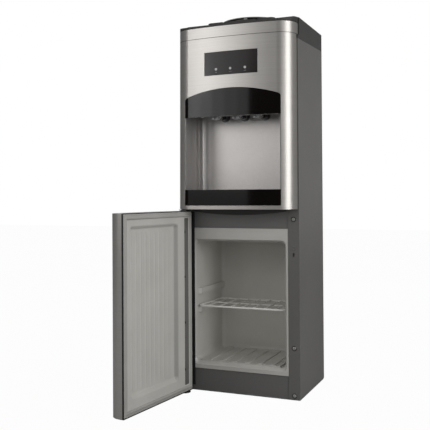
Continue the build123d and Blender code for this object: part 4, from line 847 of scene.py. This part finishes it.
def screw_head(radius, height, rings=12, sides=32):
    """Domed head with a cross recess, along +Z."""
    turns = [2 * math.pi * j / sides for j in range(sides)]
    circle = [(math.cos(a), math.sin(a)) for a in turns]
    recess = height * RECESS_DEPTH_SHARE
    points, faces = [], []
    for i in range(rings + 1):
        share = i / rings
        dome = height * math.sqrt(max(0.0, 1 - share ** 4))
        for c, s in circle:
            x, y = radius * share * c, radius * share * s
            near, far = sorted((abs(x), abs(y)))
            in_arm = near < radius * RECESS_HALF_SHARE and far < radius * RECESS_REACH_SHARE
            points.append((x, y, dome - (recess if in_arm else 0.0)))
        for j in range(sides):
            k, a, b = (j + 1) % sides, i * sides, (i + 1) * sides
            faces.append((a + j, b + j, b + k, a + k))
    base = len(points)
    points += [(radius * c * 0.98, radius * s * 0.98, -0.05 * height) for c, s in circle]
    faces.append(tuple(range(base + sides - 1, base - 1, -1)))
    mesh = bpy.data.meshes.new("screw_head")
    mesh.from_pydata([Vector(p) * MM for p in points], [], faces)
    return mesh


print("screw head:", 2 * HEAD_RADIUS, "mm across")

# %% Screws
FLANGE_X, FRONT_FACE, REAR_FACE, HINGE_X, HINGE_FACE = 141, -120.0, 121.1, -140, -122.05
FLANGE_SCREWS, REAR_SCREWS, HINGE_SCREWS = (11, 125, 436), (185, 470, 690, 865), (475.3, 465.3)
REAR_SCREW_X = 146

heads_tree, heads_pins, given = new_tree("heads_on_points", Head="Object", Tilt="Float", Finish="Material")
head = add_node(heads_tree, "GeometryNodeObjectInfo", None, {"Object": given["Head"], "As Instance": True},
                "Geometry")
tilt = add_node(heads_tree, "ShaderNodeCombineXYZ", None, {"X": given["Tilt"]})
dots = add_node(heads_tree, "GeometryNodeMeshToPoints", None, {0: given["Geometry"]})
heads = add_node(heads_tree, "GeometryNodeInstanceOnPoints", None,
                 {"Points": dots, "Instance": head, "Rotation": tilt})
end_tree(heads_tree, heads, given["Finish"])


def on_points(name, template, tilt, slot, places):
    """Copies of a template object on places in millimetres, tilted about X, as one mesh."""
    spots = bpy.data.meshes.new(name + "_spots")
    spots.from_pydata([Vector(p) * MM for p in places], [], [])
    return run_tree(name, heads_tree, heads_pins, spots, Head=template, Tilt=tilt,
                    Finish=FINISH[slot].material)


template = bpy.data.objects.new("screw_template", screw_head(HEAD_RADIUS, HEAD_HEIGHT))
scene.collection.objects.link(template)
screw_lots = (([(FLANGE_X, FRONT_FACE, z) for z in FLANGE_SCREWS], math.pi / 2),
              ([(side * REAR_SCREW_X, REAR_FACE, z) for side in (-1, 1) for z in REAR_SCREWS], -math.pi / 2),
              ([(HINGE_X, HINGE_FACE, z) for z in HINGE_SCREWS], math.pi / 2))
results = [on_points("screws", template, tilt, "screw_zinc", places) for places, tilt in screw_lots]
bpy.data.objects.remove(template)
place_mesh("cabinet_screw_heads", "cabinet", "screw_zinc", one_mesh("cabinet_screw_heads", results),
           ("cabinet_screws",), 40.0)
print("screws:", [len(places) for places, tilt in screw_lots])

# %% [markdown]
# Bottle seat. The collar is turned, but its outer wall has seven shallow slots. Sweeping a
# profile and then lowering the radius inside each slot keeps one clean mesh. The slot's ends
# fade over a degree, as a moulded edge does.

# %% Bottle seat
SLOTS, SLOT_HALF, SLOT_FADE, FIRST_WEB, SLOT_DEPTH = 7, 22.0, 1.0, -84.0, 4.5
SLOT_LOW, SLOT_HIGH, COLLAR_RADIUS, SEAT_SIDES = 942.25, 946.15, 80.5, 252


def slot_share(degrees):
    """1 inside a slot of the collar, 0 on the webs between slots."""
    pitch = 360.0 / SLOTS
    across = abs((degrees - FIRST_WEB) % pitch - pitch / 2)
    return soft_step((SLOT_HALF - across) / SLOT_FADE + 0.5)


wall_heights = (937.1, 941.9, 942.3, 946.1, 946.5, 948.3)
seat_profile = [(29.5, 868), (33.0, 868), (33.0, 905.6), (69.0, 935.6), (69.6, 937.1)]
seat_profile += [(COLLAR_RADIUS, z) for z in wall_heights]
seat_profile += [(76.4, 948.3), (74.6, 946.2), (29.5, 906.4), (29.5, 868)]
seat_loops = []
for radius, z in rounded_profile(seat_profile, 0.7, 3):
    depth = SLOT_DEPTH if radius > COLLAR_RADIUS - 0.2 and SLOT_LOW < z < SLOT_HIGH else 0.0
    loop = []
    for j in range(SEAT_SIDES):
        degrees = 360.0 * j / SEAT_SIDES
        r, a = radius - depth * slot_share(degrees), math.radians(degrees)
        loop.append((r * math.cos(a), r * math.sin(a), z))
    seat_loops.append(loop)
seat = add_piece("bottle_seat_collar", "seat", "dark_cover", skin_loops(seat_loops, close_ends=False),
                 ("bottle_seat",))
print("seat:", len(seat.data.vertices), "points")

# %% [markdown]
# Compressor. The real one is two pressed steel cups welded at a belt, so it has no sharp edge at
# all. Its plan is a rounded oblong, and the height profile closes to a dome. A superellipse
# gives the plan, and the loops shrink towards top and bottom.

# %% Compressor
SHELL_X, SHELL_Y, SHELL_HALF_X, SHELL_HALF_Y = 0, 146, 62, 42
SHELL_MIDDLE, SHELL_HALF_TALL, SHELL_LOOPS = 91, 59, 25


def oblong(half_x, half_y, z, power=3.4, sides=64):
    """Superellipse round the middle of the compressor."""
    loop = []
    for j in range(sides):
        a = 2 * math.pi * j / sides
        c, s = math.cos(a), math.sin(a)
        x = math.copysign(abs(c) ** (2 / power), c) * half_x
        y = math.copysign(abs(s) ** (2 / power), s) * half_y
        loop.append((SHELL_X + x, SHELL_Y + y, z))
    return loop


shell_loops = []
for i in range(SHELL_LOOPS):
    t = -1 + 2 * i / (SHELL_LOOPS - 1)
    share = max(0.0, 1 - abs(t) ** 3.2) ** 0.42
    shell_loops.append(oblong(max(SHELL_HALF_X * share, 2.0), max(SHELL_HALF_Y * share, 1.4),
                              SHELL_MIDDLE + SHELL_HALF_TALL * t))
belt_profile = ((-2.0, -3.4), (1.2, -3.2), (2.0, -2.6), (2.0, 0.4), (1.2, 1.0), (-2.0, 1.2))
belt = skin_loops([oblong(SHELL_HALF_X + out, SHELL_HALF_Y + out, SHELL_MIDDLE + z)
                   for out, z in belt_profile])
foot = rounded_bar(-65.9, 65.9, 108.1, 183.9, 30.85, 33.2, 1.1)
stub_profile = [(0.2, 136), (5.2, 136), (5.2, 148), (3.8, 149.4), (3.8, 153), (0.2, 153)]
stub = turned(rounded_profile(stub_profile, 0.6, 2), (OUTLET_X, CONDENSER_Y, 0), "Z", 24)
side_stub = turned([(0.2, -67), (3.8, -67), (3.8, -52), (0.2, -52)], (0, 156, 100), "X", 24)
terminal = rounded_bar(20, 48, 183.5, 189.9, 72, 104, 2.5)
shell = joined(skin_loops(shell_loops), belt, foot, stub, side_stub, terminal)
add_piece("compressor_shell", "cabinet", "black_paint", shell, ("compressor",), sharp=40.0)
print("compressor:", len(shell[0]), "points")

# %% [markdown]
# Filter drier. A copper tube is spun down at both ends until it fits the thin lines, so its
# shoulders are long cones. It is a turned shape as well.

# %% Filter drier
DRIER_X, DRIER_LOW, DRIER_HIGH = 134, 330, 418

drier_profile = [(0.2, DRIER_LOW), (2.9, DRIER_LOW), (3.2, 334), (8.0, 343), (8.0, 404), (3.6, 414),
                 (3.6, DRIER_HIGH), (0.2, DRIER_HIGH)]
drier = turned(rounded_profile(drier_profile, 2.0), (DRIER_X, CONDENSER_Y, 0), "Z", 36)
add_piece("filter_drier_spun", "cabinet", "copper", drier, ("filter_drier",), sharp=40.0)
print("drier length", DRIER_HIGH - DRIER_LOW, "mm")

# %% [markdown]
# Louvres. Each slot of the back has a pressed hood over it, which keeps water and fingers out.
# One hood is a quarter-round blister with closed ends. Geometry Nodes sets it on eighteen points,
# two columns of nine, with the same tree that placed the screws.

# %% Louvre hoods
HOOD_HALF, HOOD_TALL, HOOD_DEEP, HOOD_SHEET = 46.5, 6.0, 3.2, 0.8
LOUVRE_X, LOUVRE_LOW, LOUVRE_PITCH, LOUVRE_ROWS = 59.0, 660.2, 14, 9


def louvre_hood(half, tall, deep, spans=16, steps=8):
    """Blister over a slot, round its own origin, open downwards."""
    points, faces = [], []
    for i in range(spans + 1):
        u = -1 + 2 * i / spans
        swell = max(0.0, 1 - abs(u) ** 8) ** 0.5
        for j in range(steps + 1):
            a = math.pi / 2 * j / steps
            out = deep * swell * math.cos(a) ** 0.8 + 0.05
            points.append((u * half, out, tall * math.sin(a) * (0.55 + 0.45 * swell)))
    row = steps + 1
    for i in range(spans):
        for j in range(steps):
            a = i * row + j
            faces.append((a, a + 1, a + 1 + row, a + row))
    mesh = bpy.data.meshes.new("louvre_hood")
    mesh.from_pydata([Vector(p) * MM for p in points], [], faces)
    return mesh


hood_template = bpy.data.objects.new("louvre_template", louvre_hood(HOOD_HALF, HOOD_TALL, HOOD_DEEP))
scene.collection.objects.link(hood_template)
thick = hood_template.modifiers.new("sheet", "SOLIDIFY")
thick.thickness, thick.offset = HOOD_SHEET * MM, 0.0
louvre_places = [(side * LOUVRE_X, REAR_FACE, LOUVRE_LOW + LOUVRE_PITCH * i)
                 for side in (-1, 1) for i in range(LOUVRE_ROWS)]
hoods = on_points("louvres", hood_template, 0.0, "zinc_sheet", louvre_places)
bpy.data.objects.remove(hood_template)
place_mesh("rear_louvre_hoods", "cabinet", "zinc_sheet", hoods, (), 50.0)
print("louvre hoods:", len(louvre_places), "faces", len(hoods.polygons))

# %% [markdown]
# Small dark parts of the frame. Beside the refrigerator's opening a black strip runs down the
# hinge side; it is painted shade, a dark sheet where the open door shades the flange. The foot of
# the bottom hinge is a rounded plate under the door's corner. The right
# flange carries a raised ring, where a plug closes a spare hole, and dark cups under its screws.
# Under the upper front a dark strip with a bowed lower edge is a painted shadow, the shadow of the
# bowed panel on the cross bar.

# %% Shade strip, hinge foot and ring
RING_HEIGHT, CUP_DEPTH = 366, 0.5

# Painted shade: a black strip where the open door shades the hinge-side flange.
hinge_shade_strip = rounded_bar(-127.4, -118.2, -121.05, -119.7, 14.0, 453.0, 0.3, 2)
add_piece("hinge_side_edging", "cabinet", "black_rubber", hinge_shade_strip)
foot_profile = [(0.2, 0.7), (16.5, 0.7), (16.5, 3.1), (0.2, 3.1)]
foot = turned(rounded_profile(foot_profile, 0.7, 3), (-136, -151.5, 0))
add_piece("hinge_foot_plate", "cabinet", "black_paint", foot)
ring_profile = [(2.6, -120.0), (2.9, -120.7), (4.3, -120.9), (5.2, -120.6), (5.4, -120.0)]
ring = turned(rounded_profile(ring_profile, 0.3, 2), (FLANGE_X, 0, RING_HEIGHT), "Y", 40)
plug = turned([(0.2, -120.02), (2.7, -120.02), (2.6, -120.4), (0.2, -120.5)],
              (FLANGE_X, 0, RING_HEIGHT), "Y", 32)
add_piece("flange_ring", "cabinet", "side_paint", joined(ring, plug))
cup_profile = [(4.3, FRONT_FACE), (4.3, FRONT_FACE - CUP_DEPTH), (5.7, FRONT_FACE - CUP_DEPTH),
               (6.0, FRONT_FACE)]
cups = [turned(cup_profile, (FLANGE_X, 0, z), "Y", 32) for z in FLANGE_SCREWS]
add_piece("flange_screw_cups", "cabinet", "black_rubber", joined(*cups))
print("edging, foot, ring and", len(cups), "cups placed")

# %% Painted shadow strip
STRIP_TOP, STRIP_ENDS, STRIP_BELLY, STRIP_HALF = 460.4, 455.0, 9.0, 124

# Painted shadow: this dark strip, bowed below, stands for the shadow that the bowed front casts on the cross
# bar.
low_edge = [(x, STRIP_ENDS - STRIP_BELLY * (1 - (x / STRIP_HALF) ** 2))
            for x in range(-STRIP_HALF, STRIP_HALF + 1, 8)]
outline = [(x, STRIP_TOP) for x, low in low_edge] + low_edge[::-1]
strip = skin_loops([[(x, y, z) for x, z in outline] for y in (-120.7, -120.05)])
add_piece("panel_foam_strip", "cabinet", "dark_cover", strip)
print("foam strip:", len(low_edge), "points along")

# %% [markdown]
# Taps. Behind the hood each tap is a barrel with a short spout that hangs under the hood's edge,
# and a yoke that a cup pushes back. The spout is what shows: a pale grey ring with a dark bore.
# The barrel, the rosette and the spout are turned shapes with rounded edges.

# %% Taps
TAP_Z, TAP_NOSE, SPOUT_Y = 697.0, -134, -126.0
TAPS = (("left", -54.0, "tap_blue"), ("middle", 0.0, "tap_grey"), ("right", 54.0, "tap_red"))

barrel_profile = [(0.2, TAP_NOSE), (8.4, TAP_NOSE), (9.0, -131), (9.0, -112), (8.2, -111), (8.2, -108),
                  (9.0, -107), (9.0, -65.15), (13.0, -65.15), (13.0, -62.15), (0.2, -62.15)]
shank_profile = [(0.2, -62.15), (6.5, -62.15), (6.5, -37.0), (5.6, -36.0), (0.2, -36.0)]
spout_profile = [(5.0, 690), (5.0, 685.0), (5.6, 684.4), (7.0, 684.4), (7.6, 685.2), (7.6, 687.0),
                 (7.4, 688.0), (7.4, 690.0), (8.0, 691.0), (8.0, TAP_Z), (5.0, TAP_Z)]
ear_profile = [(0.2, -139), (3.2, -139), (3.2, -129), (0.2, -129)]


def tap_form(x):
    """Barrel with its shank, spout, lug for the lever and two small ears."""
    barrel = turned(rounded_profile(barrel_profile, 0.8, 3), (x, 0, TAP_Z), "Y", 40)
    shank = turned(shank_profile, (x, 0, TAP_Z), "Y", 28)
    spout = turned(rounded_profile(spout_profile, 0.5, 3), (x, SPOUT_Y, 0), "Z", 40)
    lug = rounded_bar(x - 4, x + 4, -94.5, -85.5, 700.0, 718.0, 1.6)
    ears = [turned(rounded_profile(ear_profile, 0.8, 3), (x + sign * 5.5, 0, 688.0), "Y", 20)
            for sign in (-1, 1)]
    return joined(barrel, shank, spout, lug, *ears)


print("tap barrel to", TAP_NOSE, "mm")

# %% Levers
LEVER_FRONT, LEVER_BACK, LEVER_TOP = -93.6, -86.4, 718.0
ARM_X, ARM_HALF, ARM_LOW = 11.4, 1.6, 688.5
CUP_FLOOR, CUP_LIP, CUP_INNER_SHARE = 690.0, 0.7, 0.76
PIN_Y, PIN_Z, PIN_RADIUS, PIN_HALF = -90.0, 714.0, 1.5, 11.5

cup_outline = [(-13.0, 692.6), (-12.0, 690.2), (-8.2, 688.1), (-5.2, 687.5), (5.2, 687.5), (8.2, 688.1),
               (12.0, 690.2), (13.0, 692.6)]


def lever_form(x):
    """Two arms on a pin, with the cup between their lower ends."""
    parts = []
    for middle in (x - ARM_X, x + ARM_X):
        parts.append(rounded_bar(middle - ARM_HALF, middle + ARM_HALF, LEVER_FRONT, LEVER_BACK, ARM_LOW,
                                 LEVER_TOP, 1.2))
    outer = rounded_profile(cup_outline, 2.0, 3)
    inner = [(a * CUP_INNER_SHARE, max(b, CUP_FLOOR)) for a, b in outer]
    outline = [(x + a, b) for a, b in outer] + [(x + a, b) for a, b in inner[::-1]]
    depths = (LEVER_FRONT, LEVER_FRONT + CUP_LIP, LEVER_BACK - CUP_LIP, LEVER_BACK)
    parts.append(skin_loops([[(u, y, v) for u, v in outline] for y in depths]))
    pin_profile = [(0.1, -PIN_HALF), (PIN_RADIUS, -PIN_HALF), (PIN_RADIUS, PIN_HALF), (0.1, PIN_HALF)]
    parts.append(turned(pin_profile, (x, PIN_Y, PIN_Z), "X", 16))
    return joined(*parts)


for side, x, slot in TAPS:
    add_piece("tap_" + side + "_moulded", "cabinet", "tap_grey", tap_form(x), ("tap_body_" + side,))
    add_piece("lever_" + side + "_moulded", "lever_" + side, slot, lever_form(x), ("tap_lever_" + side,))
print("taps at", [x for side, x, slot in TAPS])

# %% [markdown]
# Lights. Three round light pipes shine through the window, each with a small mark of three plain
# bars under it. The bars are printed, so they follow the bow of the front and hardly rise.

# %% Marks under the lights
FRONT_RADIUS, FRONT_Y, FRONT_LEAN, LEAN_FROM = 858.0, -176, 0.014, 500
MARK_LOW, MARK_HIGH, MARK_SUNK, MARK_THICK = 796.6, 797.3, 0.28, 0.2
BARS, BAR_HALF_SHARE = 3, 0.36


def bow_centre(z):
    """Y of the middle of the bow. The front leans back a little as it rises."""
    return FRONT_Y + FRONT_RADIUS + FRONT_LEAN * (z - LEAN_FROM)


def front_bar(x0, x1):
    """Thin bar that follows the bow, sunk a little below the silver round the window."""
    loops = []
    for z in (MARK_LOW, MARK_HIGH):
        front = []
        for x in (x0, (x0 + x1) / 2, x1):
            front.append((x, bow_centre(z) - math.sqrt(FRONT_RADIUS ** 2 - x ** 2) + MARK_SUNK, z))
        loops.append(front + [(x, y + MARK_THICK, z) for x, y, z in reversed(front)])
    return skin_loops(loops)


marks = []
for centre, length in ((-37.5, 5.0), (0.0, 8.0), (37.5, 6.0)):
    pitch = length / BARS
    for i in range(BARS):
        x = centre + (i - (BARS - 1) / 2) * pitch
        marks.append(front_bar(x - pitch * BAR_HALF_SHARE, x + pitch * BAR_HALF_SHARE))
add_piece("display_marks", "cabinet", "gasket_grey", joined(*marks), sharp=32.0)
print("marks:", len(marks))

# %% [markdown]
# Seam of the front. Between the panel and the trim above it the sheet is turned in, and the gap
# shows as one thin dark line. A narrow strip follows the plan of the front: the bow, two corner
# arcs that touch it, and a short way back along each side.

# %% Seam line
FRONT_HALF, FRONT_CORNER, SIDE_RUN = 152.0, 43.0, 24


def front_plan(z, proud):
    """Points of the front's plan at a height, from the left side to the right."""
    half, bow, corner = FRONT_HALF + proud, FRONT_RADIUS + proud, FRONT_CORNER + proud
    middle_y = bow_centre(z)
    corner_x = half - corner
    corner_y = middle_y - math.sqrt((bow - corner) ** 2 - corner_x ** 2)
    meet = math.atan2(corner_x, middle_y - corner_y)
    right = [(half, corner_y + SIDE_RUN - 4 * i) for i in range(6)]
    for i in range(17):
        a = (math.pi / 2 - meet) * i / 16
        right.append((corner_x + corner * math.cos(a), corner_y - corner * math.sin(a)))
    for i in range(1, 21):
        a = meet - meet * i / 20
        right.append((bow * math.sin(a), middle_y - bow * math.cos(a)))
    return [(-x, y) for x, y in right] + right[-2::-1]


loops = []
for z in (883.5, 884.5):
    outline = front_plan(z, 0.12) + front_plan(z, -0.5)[::-1]
    loops.append([(x, y, z) for x, y in outline])
seam = skin_loops(loops)
add_piece("front_seam", "cabinet", "black_rubber", seam, sharp=40.0)
print("seam:", len(seam[0]), "points")

# %% [markdown]
# Studio. A dispenser is a tall mirror, so its look comes from what it reflects: soft boxes in
# strips to the left of the camera, brighter from one to the next, make the wide sheen, and a
# wide one to the right makes the bright line on the corner. Two more behind the object show the
# back and the left side to other views. The world shows plain white to the camera, a dim room
# with one pale wall to a reflection, and an even grey to everything else.

# %% World
DIM_ROOM, AMBIENT = 0.06, 0.385
WHITE = (1.0, 1.0, 1.0, 1.0)

world = bpy.data.worlds.new("studio")
scene.world = world
world.use_nodes = True
air = world.node_tree
air.nodes.clear()
seen_by_camera = add_node(air, "ShaderNodeLightPath", out="Is Camera Ray")
glossy = seen_by_camera.also("Is Glossy Ray")
through = seen_by_camera.also("Is Transmission Ray")
direction = add_node(air, "ShaderNodeTexCoord", out="Generated")
pale_wall = add_node(air, "ShaderNodeSeparateXYZ", None, {0: direction}, "Y").between(0.94, 0.995)
seen = glossy * (pale_wall * (1 - DIM_ROOM) + DIM_ROOM) + through * (1 - glossy)
seen = seen + (1 - glossy) * (1 - through) * AMBIENT
level = seen_by_camera + (1 - seen_by_camera) * seen
sky = add_node(air, "ShaderNodeBackground", None, {"Color": WHITE, "Strength": level})
add_node(air, "ShaderNodeOutputWorld", None, {0: sky})
print("ambient", AMBIENT)

# %% [markdown]
# Floor. It lights the object from below, as a matt grey floor does, but the camera sees it as
# almost white, so that no horizon shows. A Mix Shader between the two looks does that.

# %% Floor
FLOOR_HALF, FLOOR_WHITE_SHARE = 9, 0.975

h = FLOOR_HALF
floor_mesh = bpy.data.meshes.new("studio_floor")
floor_mesh.from_pydata([(-h, -h, 0), (h, -h, 0), (h, h, 0), (-h, h, 0)], [], [(0, 1, 2, 3)])
floor = bpy.data.objects.new("studio_floor", floor_mesh)
scene.collection.objects.link(floor)
pale = bpy.data.materials.new("studio_floor_pale")
pale.use_nodes = True
tree = pale.node_tree
tree.nodes.clear()
rays = add_node(tree, "ShaderNodeLightPath", out="Is Camera Ray")
share = (rays + rays.also("Is Transmission Ray")) * FLOOR_WHITE_SHARE
matt = add_node(tree, "ShaderNodeBsdfDiffuse", None, {"Color": (0.28, 0.28, 0.28, 1.0)})
glow = add_node(tree, "ShaderNodeEmission", None, {"Color": WHITE, "Strength": 1.0})
blend = add_node(tree, "ShaderNodeMixShader", None, {0: share, 1: matt, 2: glow})
add_node(tree, "ShaderNodeOutputMaterial", None, {0: blend})
floor_mesh.materials.append(pale)
print("floor", 2 * FLOOR_HALF, "m")

# %% [markdown]
# Lamps. The upright boxes stand on a circle round the object, each at its azimuth to the left of
# the front. Their brightness is set as radiance, which is what a mirror shows, and the power
# follows from it and from the size of the box.

# %% Lamps
DISTANCE = 2.4
# Name, azimuth in degrees, distance, width, low and high in metres, radiance.
TALL_BOXES = [("key_high_%d" % azimuth, azimuth, DISTANCE, 0.236, 0.85, 2.4, radiance)
              for azimuth, radiance in ((13.7, 1.2), (19.2, 1.5), (24.8, 2.0), (30.4, 2.8), (36.0, 3.4))]
TALL_BOXES += [("key_edge_high", 40.9, DISTANCE, 0.17, 1.15, 2.4, 1.2),
               ("key_edge_low", 40.0, DISTANCE, 0.1, 0.85, 1.145, 0.5),
               ("key_side_top", 8.6, DISTANCE, 0.2, 1.22, 2.4, 0.6),
               ("key_glow", 34.0, 2.3, 0.34, 1.1, 1.26, 1.5),
               ("key_middle", 26.2, DISTANCE, 1.28, 0.6, 0.845, 1.3),
               ("key_low", 26.2, DISTANCE, 1.28, 0.42, 0.595, 0.5),
               ("corner_right", -72.5, DISTANCE, 1.44, 0.05, 2.2, 3.3),
               ("corner_soft", -42.0, DISTANCE, 0.85, 0.5, 2.2, 0.75),
               ("rear_soft", 174.0, DISTANCE, 1.2, 0.1, 2.1, 1.1),
               ("rear_left", 146.0, DISTANCE, 1.0, 0.1, 2.2, 0.5)]


def softbox(name, place, target, width, height, power):
    lamp = bpy.data.lights.new(name, "AREA")
    lamp.shape, lamp.size, lamp.size_y, lamp.energy = "RECTANGLE", width, height, power
    holder = bpy.data.objects.new(name, lamp)
    holder.location = place
    holder.rotation_euler = (Vector(target) - Vector(place)).to_track_quat("-Z", "Y").to_euler()
    scene.collection.objects.link(holder)
    return holder


for name, azimuth, distance, width, low, high, radiance in TALL_BOXES:
    a, z = math.radians(azimuth), (low + high) / 2
    place = (-distance * math.sin(a), -distance * math.cos(a), z)
    softbox(name, place, (0, 0, z), width, high - low, radiance * math.pi * width * (high - low))
softbox("top_fill", (0.3, 0.4, 2.6), (0, 0, 0.8), 1.6, 1.6, 11.0)
front_fill = softbox("front_fill", (0.5, -2.3, 1.35), (0, 0, 0.55), 1.0, 1.0, 1.2)
front_fill.visible_glossy = False
print("soft boxes:", len(TALL_BOXES) + 2)

# %% [markdown]
# Camera. Its place, turn, lens and shift were solved from about ninety points of the photograph
# together with the sizes.

# %% Camera
EYE, TURN, TILT, ROLL = (0.636627, -1.879954, 0.493858), 24.168, 90.721, -0.313

camera = bpy.data.cameras.new("camera")
camera.lens, camera.sensor_width, camera.sensor_fit = 62.70, 36.0, "HORIZONTAL"
camera.shift_x, camera.shift_y = 0.07666, -0.06598
eye = bpy.data.objects.new("camera", camera)
stand = Matrix.Translation(EYE)
for degrees, axis in ((TURN, "Z"), (TILT, "X"), (ROLL, "Z")):
    stand = stand @ Matrix.Rotation(math.radians(degrees), 4, axis)
eye.matrix_world = stand
scene.collection.objects.link(eye)
scene.camera = eye
scene.view_settings.view_transform = "Standard"
print("camera at", [round(c, 3) for c in eye.location])
